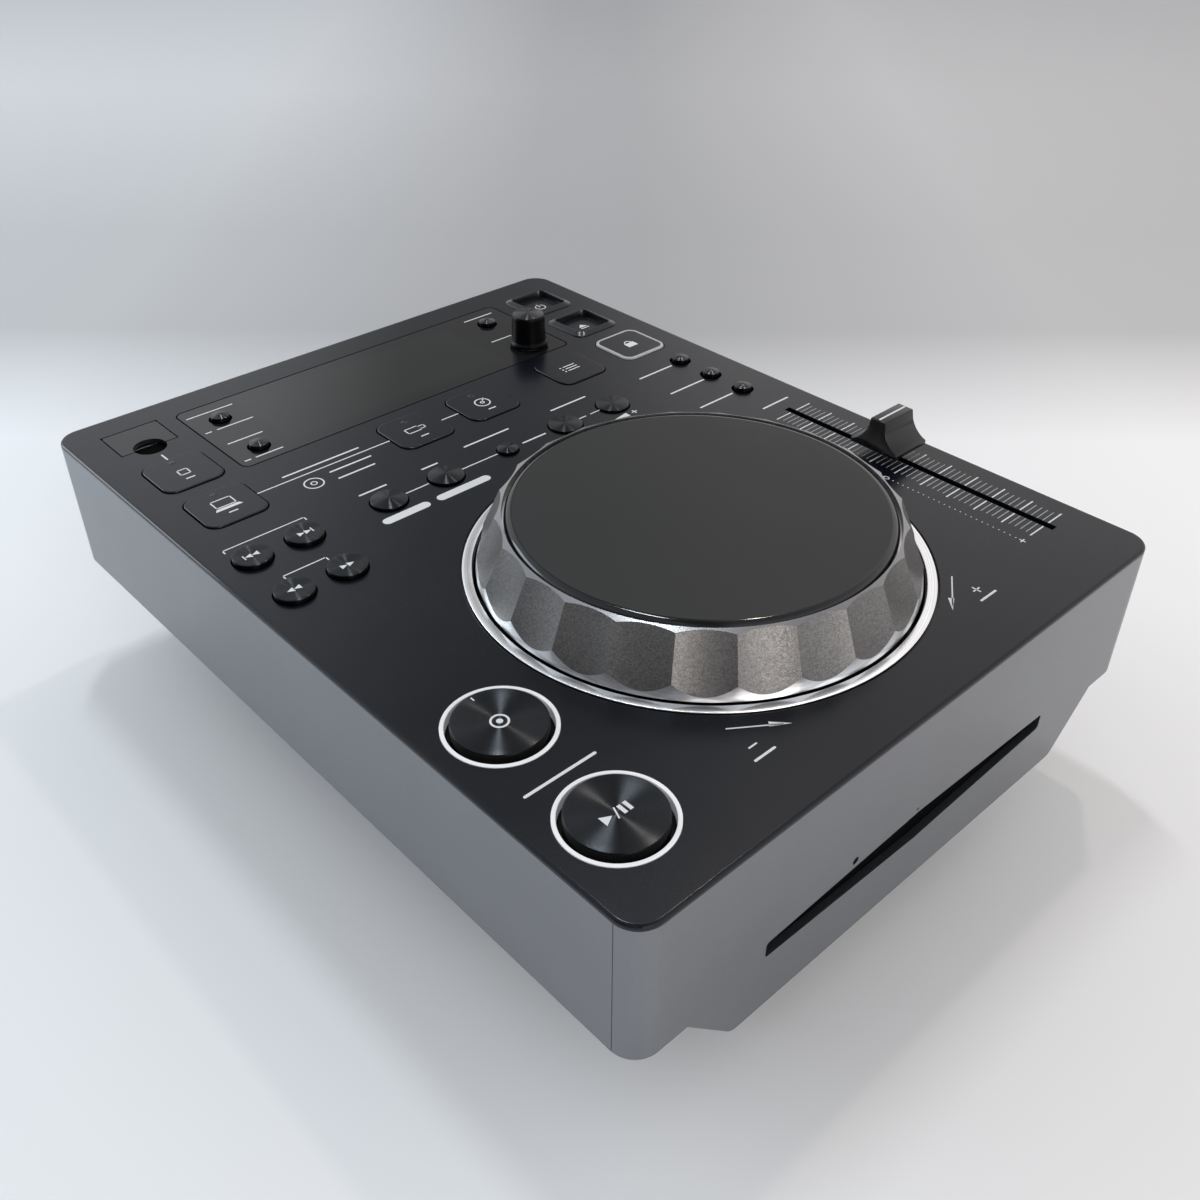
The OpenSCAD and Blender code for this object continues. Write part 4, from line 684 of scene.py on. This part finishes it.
# ---------------------------------------------------------------- round buttons and pegs

def turned_button(node, radius, hole, line, segments, finish):
    """A round button: its crown from a line of (radius, height above the deck), its flange and its stem."""
    centre, low, _ = middle(node)
    shaft = [(0, low), (2.4, low), (2.4, FLANGE - 1.0), (hole + 0.9, FLANGE - 1.0), (hole + 0.9, FLANGE),
             (radius, FLANGE)]
    points, faces, uvs = turn(shaft + [(r, DECK + z) for r, z in line], centre, segments)
    # The crown's faces are turned, the rest is plain gloss
    crown = (len(line) - 4) * segments
    piece(node + "_cap", points, faces, node, [finish, knob_gloss], [node],
          [1] * (len(faces) - crown) + [0] * crown, 30, uvs)


def crowned(radius, rise, edge, peak, power=1.6, lip=0.02):
    """Crown of a cap: a rounded edge, then a cone with its tip rounded or, with a peak below 0, a shallow dish."""
    rim = radius - 2 * edge
    line = arc([(radius, 0), (radius, rise), (rim, rise + lip)], [0, edge, 0], 5)[1:-1]
    for k in range(1, 7):
        t = k / 6
        line.append((rim * (1 - t), rise + lip + peak * (1 - (1 - t) ** power)))
    return line


BIG_R, CAP_R, DOT_R, PEG_R = 12.6, 6.05, 3.65, 3.3
for names, radius, gap, crown, segments, finish in (
    ("cue play", BIG_R, 1.35, crowned(BIG_R, 1.6, 0.45, -0.16, 2, 0), 128, cap_spun),
    ("track_back track_next search_back search_next", CAP_R, 0.4, crowned(CAP_R, 1.5, 0.35, -0.12, 2, 0), 72, cap_spun),
    ("loop_in loop_out", CAP_R, 0.4, crowned(CAP_R, 0.9, 0.3, 0.75), 72, cap_spun),
    ("beat_less beat_more", CAP_R, 0.4, crowned(CAP_R, 0.75, 0.3, 0.28), 72, cap_spun),
    ("reloop", DOT_R, 0.4, crowned(DOT_R, 1.0, 0.3, 0.45), 48, cap_spun),
    ("time menu return vinyl range tempo_reset", PEG_R, 0.8, crowned(PEG_R, 1.55, 0.35, 0.7), 48, peg_chrome),
):
    for name in names.split():
        turned_button(name + "_button", radius, radius + gap, crown, segments, finish)


# ---------------------------------------------------------------- square keys, guards and light rings

def soft_key(node, side, corner, edge, flange):
    """A square key with a rounded upper edge, its flange and its stem. The flange is (width, depth, top)."""
    centre, low, top = middle(node)
    wide, deep, base = flange
    rings = [square_ring(side, side, corner, base, centre, 8)]
    for k in range(6):
        t = math.pi / 2 * k / 5
        inset = edge * (1 - math.cos(t))
        rings.append(square_ring(side - 2 * inset, side - 2 * inset, corner - inset,
                                 top - edge * (1 - math.sin(t)), centre, 8))
    rings.append(square_ring(side - 2 * edge - 0.3, side - 2 * edge - 0.3, corner - edge - 0.15, top, centre, 8))
    shelf = loft([square_ring(wide, deep, 1, z, centre, 3) for z in (base - 1.0, base - 0.005)])
    stem = turn([(0, low), (2.4, low), (2.4, base - 1.0), (0, base - 1.0)], centre, 24)
    points, faces = join([loft(rings), shelf, stem[:2]])
    piece(node + "_top", points, faces, node, [key_satin], [node])


KEY_W, KEY_R = 21.4, 4.3
for name in ("usb_stop_key", "laptop_key", "memory_key", "disc_key", "list_key", "lock_key"):
    soft_key(name, KEY_W - 0.2, KEY_R - 0.1, 0.4, (KEY_W + 2.6, KEY_W - 6, FLANGE))
for name in ("power_key", "eject_key"):
    soft_key(name, 15.8, 2.0, 0.4, (18.4, 9.8, 84.6))

# The lock key's lens, a frame let into its rounded edge
lock_at, _, lock_top = middle("lock_key")
points, faces = loft([square_ring(KEY_W - 2 * i, KEY_W - 2 * i, KEY_R - i, lock_top + z, lock_at, 8) for i, z in (
    (0.04, -0.6), (0.06, -0.4), (0.18, -0.12), (0.42, 0.05), (0.7, 0.08), (1.2, 0.08), (1.3, 0.0),
    (1.3, -0.3), (0.5, -0.6))], closed=True)
piece("lock_key_lens", points, faces, "lock_key", [key_lens], sharp=40)


def guard(node):
    """The raised guard round a sunken key: sloped outside, upright inside, rounded along its rim."""
    centre = middle(node)[0]
    # Width, corner radius and height of each ring
    line = [(20.0, 4.7, -5.0), (20.0, 4.7, -0.02), (21.2, 3.5, 0.0), (21.2, 3.5, 0.2), (21.05, 3.45, 0.32)]
    line += [(21.05 - 3.35 * t, 3.45 - 0.35 * t, 0.32 + 0.87 * t) for t in (k / 6 for k in range(1, 6))]
    line += [(17.75, 3.05, 1.2), (17.5, 3.0, 1.27), (17.2, 2.9, 1.29), (16.8, 2.7, 1.25), (16.6, 2.6, 1.1),
             (16.6, 2.6, -5.0)]
    return loft([square_ring(w, w, r, DECK + z, centre, 8) for w, r, z in line], closed=True)


points, faces = join([guard("power_key"), guard("eject_key")])
piece("key_guards", points, faces, "root", [guard_satin], ["button_guards"], sharp=40)

lens_line = [(13.95, DECK_UNDER), (15.1, DECK_UNDER), (15.1, DECK + 0.06), (15.0, DECK + 0.15), (14.05, DECK + 0.15),
             (13.95, DECK + 0.06)]
points, faces = join([turn(lens_line, middle(name)[0], 128)[:2] for name in ("cue_button", "play_button")])
piece("light_ring_lenses", points, faces, "root", [ring_lens], ["light_rings"], sharp=40)


# ---------------------------------------------------------------- selector knob and tempo slider knob

selector_at = middle("selector_knob")[0]
knob_line = arc([
    (3.05, DECK + 1.0), (7.5, DECK + 1.0), (7.5, DECK + 1.9), (6.75, DECK + 2.7), (6.3, DECK + 12.2),
    (5.95, DECK + 12.85), (0, DECK + 13.6),
], [0, 0.2, 0.3, 0.4, 0.3, 0.25, 0], 4)
bore = [(0, DECK + 12.0), (3.05, DECK + 12.0)]
KNOB_SIDES = 96
points, faces, uvs = turn(bore + knob_line, selector_at, KNOB_SIDES)
piece("selector_cap", points, faces, "selector_knob", [knob_gloss, peg_chrome], ["selector_knob"],
      last_faces(faces, KNOB_SIDES), 30, uvs)


def slider_saddle():
    """The tempo knob: a ridge across, hollowed in front and behind, with ends that lean in."""
    (cx, cy), z0, _ = middle("slider_knob")
    rise, scoop, half_l, half_w = 11.0, 9.6, 9.3, 8.4
    ridge_half, foot, lean = 3.0, 1.4, 0.8
    side = []
    for k in range(15):
        y = half_l - (half_l - ridge_half) * k / 14
        reach = (y - ridge_half - scoop * 0.86) / (scoop * 0.86)
        side.append((y, foot + scoop - scoop * math.sqrt(max(0, 1 - reach * reach))))
    line = [(-half_l, 0.0), (half_l, 0.0)] + side + [(-y, z) for y, z in reversed(side)]
    count = len(line)

    def width(z):
        return half_w - lean * max(0, z - 1.6) / (rise - 1.6)

    points = [(cx + s * width(z), cy + y, z0 + z) for s in (-1, 1) for y, z in line]
    faces = [[count + k, count + (k + 1) % count, (k + 1) % count, k] for k in range(count)]
    faces += [list(range(count)), list(range(2 * count - 1, count - 1, -1))]
    mesh = mesh_of("slider_saddle", points, faces)
    mesh.materials.append(slider_satin)
    thing = place_in_scene("tempo_knob_seed", mesh)
    soften = thing.modifiers.new("edges", "BEVEL")
    soften.width = 0.6 * MM
    soften.segments = 4
    soften.limit_method = "ANGLE"
    soften.angle_limit = math.radians(35)
    settle("tempo_knob", plain(thing), "tempo_slider", ["slider_knob"], 50)
    return cx, cy, z0 + rise


saddle_x, saddle_y, saddle_top = slider_saddle()


# ---------------------------------------------------------------- printed signs

class Print:
    """Thin printed shapes on a level or curved face. Places are x from the case's middle and y from its front face."""

    def __init__(self, name, body="root", top=DECK, lift=0.03, surface=None):
        self.name, self.body = name, body
        self.surface, self.lift = surface or (lambda x, y: top), lift
        self.points, self.faces = [], []

    def polygon(self, outline):
        base = len(self.points)
        count = len(outline)
        area = sum(a[0] * b[1] - b[0] * a[1] for a, b in zip(outline, outline[1:] + outline[:1]))
        if area < 0:
            outline = outline[::-1]
        self.points += [(x, y + FRONT, self.surface(x, y + FRONT) + lift) for lift in (-0.02, self.lift)
                        for x, y in outline]
        faces = [list(range(count))[::-1], list(range(count, 2 * count))]
        faces += [[k, (k + 1) % count, count + (k + 1) % count, count + k] for k in range(count)]
        self.faces += [[base + k for k in face] for face in faces]

    def bar(self, x0, y0, x1, y1, width, round_ends=True):
        a, b = Vector((x0, y0)), Vector((x1, y1))
        along = (b - a).normalized() * width / 2
        across = Vector((-along.y, along.x))
        if round_ends:
            outline = [end + along * math.cos(t) + across * math.sin(t) for end, start in ((b, -90), (a, 90))
                       for t in (math.radians(start + 30 * k) for k in range(7))]
        else:
            outline = [a - across, b - across, b + across, a + across]
        self.polygon([tuple(corner) for corner in outline])

    def disc(self, x, y, r, sides=20):
        angles = [2 * math.pi * k / sides for k in range(sides)]
        self.polygon([(x + r * math.cos(a), y + r * math.sin(a)) for a in angles])

    def band(self, x, y, r, width, start=0, end=360, squash=1.0):
        """Part of a ring, drawn as short pieces."""
        steps = max(8, int(abs(end - start) / 12))
        for k in range(steps):
            corners = []
            for t, radius in ((k, r - width / 2), (k, r + width / 2), (k + 1, r + width / 2), (k + 1, r - width / 2)):
                a = math.radians(start + (end - start) * t / steps)
                corners.append((x + radius * math.cos(a) * squash, y + radius * math.sin(a)))
            self.polygon(corners)

    def box(self, x0, y0, x1, y1, width):
        corners = [(x0, y0), (x1, y0), (x1, y1), (x0, y1)]
        for a, b in zip(corners, corners[1:] + corners[:1]):
            self.bar(*a, *b, width)

    def dash(self, x, y):
        self.bar(x - 1.6, y, x + 1.6, y, 0.6, False)

    def plus(self, x, y, size, width):
        self.bar(x - size, y, x + size, y, width, False)
        self.bar(x, y - size, x, y - width / 2, width, False)
        self.bar(x, y + width / 2, x, y + size, width, False)

    def arrow_head(self, x, y, length, half, way=1):
        """A filled triangle that points to the right, or to the left."""
        self.polygon([(x - way * length / 2, y - half), (x + way * length / 2, y), (x - way * length / 2, y + half)])

    def make(self):
        piece(self.name, self.points, self.faces, self.body, [ink])

    def make_row(self, count, step, material):
        """Prints the shapes over and over, from front to back."""
        mesh = repeated(self.points, self.faces, REPEAT_ROW,
                        {"Count": count, "Step": (0.0, step * MM, 0.0), "Material": material})
        settle(self.name, mesh, self.body)


LABEL = 0.75  # Width of a plain bar in the place of a word

deck_print = Print("deck_signs")
for x0, x1 in ((-76.3, -25.2), (-3.2, 4.2)):
    deck_print.bar(x0, 208.2, x1, 208.2, 0.5, False)
deck_print.bar(-87.2, 247, -87.2, 252, 0.6, False)
for x0, x1 in ((-41.3, -32.3), (-19.2, -3.7), (33, 36.5), (38.5, 43)):
    deck_print.bar(x0, 176.2, x1, 176.2, 0.5, False)
for x0, x1 in ((-56.7, -39), (-36, -14.8)):
    deck_print.bar(x0 + 1.7, 166.5, x1 - 1.7, 166.5, 3.4)
deck_print.polygon([(40.5, 167), (48.3, 165.7), (48.3, 168.3)])
deck_print.plus(51.3, 167, 1.2, 0.45)
for x0, x1, y in ((-101, -73, 186), (-94.5, -80, 162.6)):
    # A bracket over a group of buttons
    deck_print.bar(x0, y, x1, y, 0.45)
    for x in (x0, x1):
        deck_print.bar(x, y, x, y - 1.6, 0.45)
deck_print.bar(-100, 47, -78, 47, 0.9)
for side in (-1, 1):
    # A slim arrow beside the wheel, with one barb, and its sign
    deck_print.bar(side * 48.4, 31.35, side * 36.4, 22.9, 0.4, False)
    deck_print.polygon([(side * 34.6, 21.6), (side * 39.7, 24.6), (side * 38.6, 26.0)])
    deck_print.bar(side * 48 - 1.5, 22.8, side * 48 + 1.5, 22.8, 0.5, False)
    deck_print.bar(side * 48 - 3.5, 18.8, side * 48 + 3.5, 18.8, LABEL)
deck_print.bar(48, 21.3, 48, 24.3, 0.5, False)
deck_print.band(80, 78.2, 1.0, 0.35, squash=0.72)
deck_print.plus(80, 27.7, 1.1, 0.4)
deck_print.make()

deck_labels = Print("deck_label_bars")
for x0, x1, y in ((-65, -36, 211.5), (-51.7, -36, 204), (-51.7, -38, 198.7), (-53, -43, 185), (-28.5, -22.5, 185),
                  (-9, 10, 187.5), (30, 46, 187.5), (7.5, 17.3, 176.2), (71, 87.5, 184.2), (71, 88, 167.8),
                  (71, 87.5, 153), (87, 100, 137.3)):
    deck_labels.bar(x0, y, x1, y, LABEL)
deck_labels.band(-59.5, 201.5, 3.2, 0.5)
deck_labels.band(-59.5, 201.5, 1.0, 0.4)
deck_labels.make()

low, high = (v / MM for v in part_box("display_window"))
pane, pane_at = high - low, middle("display_window")[0]
# A near-black ring flush with the deck round the window: painted shade in the gap between the window and the deck
points, faces = loft([square_ring(pane.x + w, pane.y + w, 3 + w / 2, DECK + z, pane_at, 8) for w, z in (
    (0.7, -0.02), (0.7, 0.012), (-0.4, 0.012), (-0.4, -0.02))], closed=True)
piece("window_gap_shade", points, faces, "root", [deep_black])
# A near-black sheet in the flap's finger notch, cut straight along the socket: painted shade down in the notch
notch_x, notch_y = -87.35, 111.55
points, faces, _ = turn([(0, 87.68), (5.45, 87.68), (5.45, 87.8), (5.3, 87.85), (0, 87.85)], (notch_x, notch_y), 48)
points = [(x, min(y, notch_y + 4.1), z) for x, y, z in points]
piece("notch_shade_sheet", points, faces, "root", [deep_black])

window_print = Print("window_signs")
for x0, x1, y in ((-69, -51.5, 269), (-64.5, -51, 255.2), (-67, -54, 243.5), (-64.5, -54.5, 229.2), (54.3, 68, 269.3),
                  (50.5, 60, 246.8)):
    window_print.bar(x0, y, x1, y, 0.6)
for x, y in ((-68, 255.2), (-67.6, 229.2)):
    window_print.bar(x - 1.2, y, x + 1.2, y, 0.6, False)
window_print.make()

# The tempo slider's scale: y of its front end, and where each stroke starts and ends on both sides of the slot
scale_y, slot_left, slot_right = 27.7, 91.75, 94.75
for name, lift, left, right, width, count, step, material in (
    ("tempo_ticks", 0.03, 85.3, 101.2, 0.34, 51, 2.02, ink_dim),
    ("tempo_long_ticks", 0.04, 84.3, 102.3, 0.46, 11, 10.1, ink),
):
    tick = Print(name, lift=lift)
    tick.bar(left, scale_y, slot_left, scale_y, width, False)
    tick.bar(slot_right, scale_y, right, scale_y, width, False)
    tick.make_row(count, step, material)
dot = Print("tempo_dots")
dot.disc(80, 30, 0.22, 8)
dot.make_row(24, 1.98, ink)


def on_node(node, dip=0.0, radius=1.0):
    """A sheet for printing on top of a button or key, and the middle of that top."""
    (cx, cy), _, top = middle(node)

    def surface(x, y):
        return top - dip * (1 - min(1, math.hypot(x - cx, y - cy) / radius) ** 2)

    return Print(node + "_sign", node, surface=surface), cx, cy - FRONT


sheet, x, y = on_node("usb_stop_key")
sheet.box(x - 1.7, y - 2.2, x + 1.7, y + 1.2, 0.45)
sheet.dash(x, 231.2)
sheet.make()
sheet, x, y = on_node("laptop_key")
sheet.box(x - 3.4, y - 0.6, x + 3.4, y + 3.9, 0.45)
sheet.polygon([(x - 4.7, y - 2.6), (x + 4.7, y - 2.6), (x + 3.9, y - 1.2), (x - 3.9, y - 1.2)])
sheet.dash(x, 203.4)
sheet.make()
sheet, x, y = on_node("memory_key")
sheet.box(x - 3.6, y - 1.6, x + 1.6, y + 1.6, 0.45)
sheet.box(x + 1.6, y - 1.0, x + 3.8, y + 1.0, 0.4)
sheet.dash(x, 202.7)
sheet.make()
sheet, x, y = on_node("disc_key")
sheet.band(x, y, 2.8, 0.5)
sheet.band(x, y, 0.7, 0.4)
sheet.bar(x + 1.0, y + 1.2, x + 2.2, y + 2.6, 0.5)
sheet.dash(x, 202.7)
sheet.make()
sheet, x, y = on_node("list_key")
for k in (-1, 0, 1):
    sheet.bar(x - 1.8, y + 1.7 * k, x + 3.4, y + 1.7 * k, 0.5)
    sheet.disc(x - 3.2, y + 1.7 * k, 0.4, 12)
sheet.make()
sheet, x, y = on_node("lock_key")
sheet.polygon([(x - 2.3, y - 2.4), (x + 2.3, y - 2.4), (x + 2.3, y + 0.8), (x - 2.3, y + 0.8)])
sheet.band(x, y + 0.8, 1.5, 0.5, 0, 180)
sheet.make()
sheet, x, y = on_node("power_key")
sheet.band(x, y - 1.5, 2.1, 0.45, 120, 420)
sheet.bar(x, y - 1.2, x, y + 1.2, 0.45)
sheet.make()
sheet, x, y = on_node("eject_key")
sheet.polygon([(x - 2.1, y - 1.0), (x + 2.1, y - 1.0), (x, y + 1.4)])
sheet.bar(x - 2.1, y - 2.0, x + 2.1, y - 2.0, 0.6, False)
sheet.make()

for name, lamp_y in (("usb_stop_key", 243.8), ("laptop_key", 216), ("memory_key", 215), ("disc_key", 215)):
    (cx, _), _, top = middle(name)
    line = [(0, -0.05), (1.15, -0.05), (1.1, 0.02), (0.7, 0.08), (0, 0.11)]
    points, faces, uvs = turn([(r, top + z) for r, z in line], (cx, lamp_y + FRONT), 24)
    piece(name + "_lamp", points, faces, name, [lamp_dark], sharp=60, uvs=uvs)


for name, way, stop in (("track_back_button", -1, True), ("track_next_button", 1, True),
                        ("search_back_button", -1, False), ("search_next_button", 1, False)):
    sheet, x, y = on_node(name, 0.12, 5.4)
    for k in (-1, 1):
        sheet.arrow_head(x + k * 1.15 + way * 0.1, y, 2.2, 1.05, way)
    if stop:
        sheet.bar(x + way * 2.65, y - 1.15, x + way * 2.65, y + 1.15, 0.4, False)
    sheet.make()
sheet, x, y = on_node("play_button", 0.16, 11.7)
sheet.arrow_head(x - 2.9, y, 3.0, 1.6)
sheet.bar(x - 0.75, y - 1.7, x + 0.55, y + 1.7, 0.4, False)
for dx in (1.7, 3.5):
    sheet.bar(x + dx, y - 1.5, x + dx, y + 1.5, 1.05, False)
sheet.make()
sheet, x, y = on_node("cue_button", 0.16, 11.7)
sheet.band(x, y, 2.3, 0.6)
sheet.disc(x, y, 0.9)
sheet.bar(x, y + 10.2, x, y + 11.6, 0.4, False)
sheet.make()

ridge = Print("tempo_knob_line", "tempo_slider", saddle_top)
ridge.bar(saddle_x - 6.9, saddle_y - FRONT, saddle_x + 6.9, saddle_y - FRONT, 0.7, False)
ridge.make()


# ---------------------------------------------------------------- slot brushes

slot_x, slot_z = -1.7, DECK - 43
slot_half, brush_half, steps = 62.3, 62.0, 20
columns = [slot_x + brush_half * k / steps for k in range(-steps, steps + 1)]
n = len(columns)
brushes = []
for s in (-1, 1):
    # Each brush runs from the slot's curved edge almost to its middle
    outer = [(x, slot_z + s * (5.6 - 2.4 * abs(x - slot_x) / slot_half)) for x in columns]
    inner = [(x, slot_z + s * 0.45) for x in columns]
    points = [(x, FRONT + y, z) for y, line in ((3.2, outer), (2.5, outer), (2.5, inner), (3.2, inner))
              for x, z in line]
    faces = []
    for i in range(4):
        a, b = i * n, (i + 1) % 4 * n
        faces += [[a + k, a + k + 1, b + k + 1, b + k] for k in range(n - 1)]
    faces += [[0, n, 2 * n, 3 * n], [n - 1, 4 * n - 1, 3 * n - 1, 2 * n - 1]]
    brushes.append((points, faces if s > 0 else [f[::-1] for f in faces]))
points, faces = join(brushes)
piece("slot_brushes", points, faces, "root", [deep_black])


# ---------------------------------------------------------------- floor and light

def stage():
    """A pale cloth under the part, painted with light and shade: bright near the part, darker behind it with the
    painted shade of a slow fold, and tinted cool on the left and warm on the right as painted window light.
    """
    sides, radius = 96, 6000
    angles = [2 * math.pi * k / sides for k in range(sides)]
    mesh = mesh_of("floor", [(radius * math.cos(a), radius * math.sin(a), 0) for a in angles], [list(range(sides))])
    w = Wiring("floor_cloth")
    at = w.split(w.place)

    def along(x, y):
        return w.math("ADD", w.math("MULTIPLY", at["X"], x), w.math("MULTIPLY", at["Y"], y))

    depth, across = along(0.68, 0.73), along(0.73, -0.68)
    side = w.spread(across, 0, 1, -0.35, 0.35)
    # Painted light: each tone is bluish on the left and warm on the right, for cool and warm window light
    near = w.blend(side, (0.84, 0.875, 0.9), (0.94, 0.895, 0.87))
    behind = w.blend(side, (0.51, 0.52, 0.53), (0.55, 0.525, 0.515))
    distant = w.blend(side, (0.65, 0.655, 0.665), (0.60, 0.57, 0.56))
    # Painted light and shade: bright near the part, darker behind it, paler again far off
    cloth = w.blend(w.spread(depth, 0, 1, 0.19, 0.32), near, behind)
    cloth = w.blend(w.spread(depth, 0, 1, 0.48, 0.85), cloth, distant)
    # Painted shade of a fold in the cloth, in a band straight behind the part
    fold = w.math("MULTIPLY", w.spread(w.math("ABSOLUTE", across), 0.42, 0.0, 0.04, 0.28),
                  w.spread(depth, 0, 1, 0.06, 0.3))
    w.set(Base_Color=w.blend(fold, cloth, (0.22, 0.21, 0.21)),
          Roughness=w.spread(w.noise(40), 0.85, 0.95), Specular_IOR_Level=0.1)
    mesh.materials.append(w.made)
    place_in_scene("floor", mesh)


def lamp(name, place, size, power, colour):
    """A soft rectangular lamp that looks at the part."""
    data = bpy.data.lights.new(name, "AREA")
    data.shape = "RECTANGLE"
    data.size, data.size_y = size
    data.energy = power
    data.color = colour
    away = Vector(place) - Vector((0, 0, 0.05))
    place_in_scene(name, data).matrix_world = (
        Matrix.Translation(place) @ away.to_track_quat("Z", "Y").to_matrix().to_4x4())


def sky():
    """A soft room: pale behind the part but for one dim fold, dimmer above, dark low on its left side."""
    w = Wiring("studio", bpy.data.worlds, "Background", "Generated")
    bpy.context.scene.world = w.made

    def toward(x, y):
        node = w.add("ShaderNodeVectorMath", operation="DOT_PRODUCT")
        node.inputs[1].default_value = (x, y, 0.0)
        w.link(w.place, node.inputs[0])
        return node.outputs["Value"]

    ramp = w.add("ShaderNodeValToRGB")
    stops = ramp.color_ramp.elements
    for index, (where, colour) in enumerate((
            (0.0, (1.06, 1.02, 1.0)), (0.4, (1.0, 1.05, 1.1)), (0.76, (1.08, 1.18, 1.28)), (0.92, (0.14, 0.14, 0.15)))):
        stop = stops[index] if index < 2 else stops.new(where)
        stop.position = where
        stop.color = (*colour, 1)
    w.link(w.spread(toward(-0.99, -0.14), 0, 1, -1, 1), ramp.inputs[0])
    fold = w.spread(w.math("ABSOLUTE", toward(0.799, -0.602)), 0.35, 1.0, 0.07, 0.18)
    above = w.spread(w.split(w.place)["Z"], 1.0, 0.45, 0.5, 0.95)
    w.link(ramp.outputs[0], w.shader.inputs["Color"])
    w.link(w.math("MULTIPLY", above, fold), w.shader.inputs["Strength"])


stage()
sky()
lamp("cool_window", (0.24, 0.43, 1.46), (0.06, 0.34), 3.9, (0.88, 0.94, 1.0))
lamp("warm_window", (0.65, 0.22, 1.36), (0.06, 0.06), 1.9, (1.0, 0.89, 0.8))
lamp("left_window", (-0.6, 1.3, 0.62), (0.7, 0.6), 5.5, (0.84, 0.92, 1.0))
lamp("front_window", (-0.38, -1.34, 0.5), (0.7, 0.5), 4.9, (1.0, 0.91, 0.84))
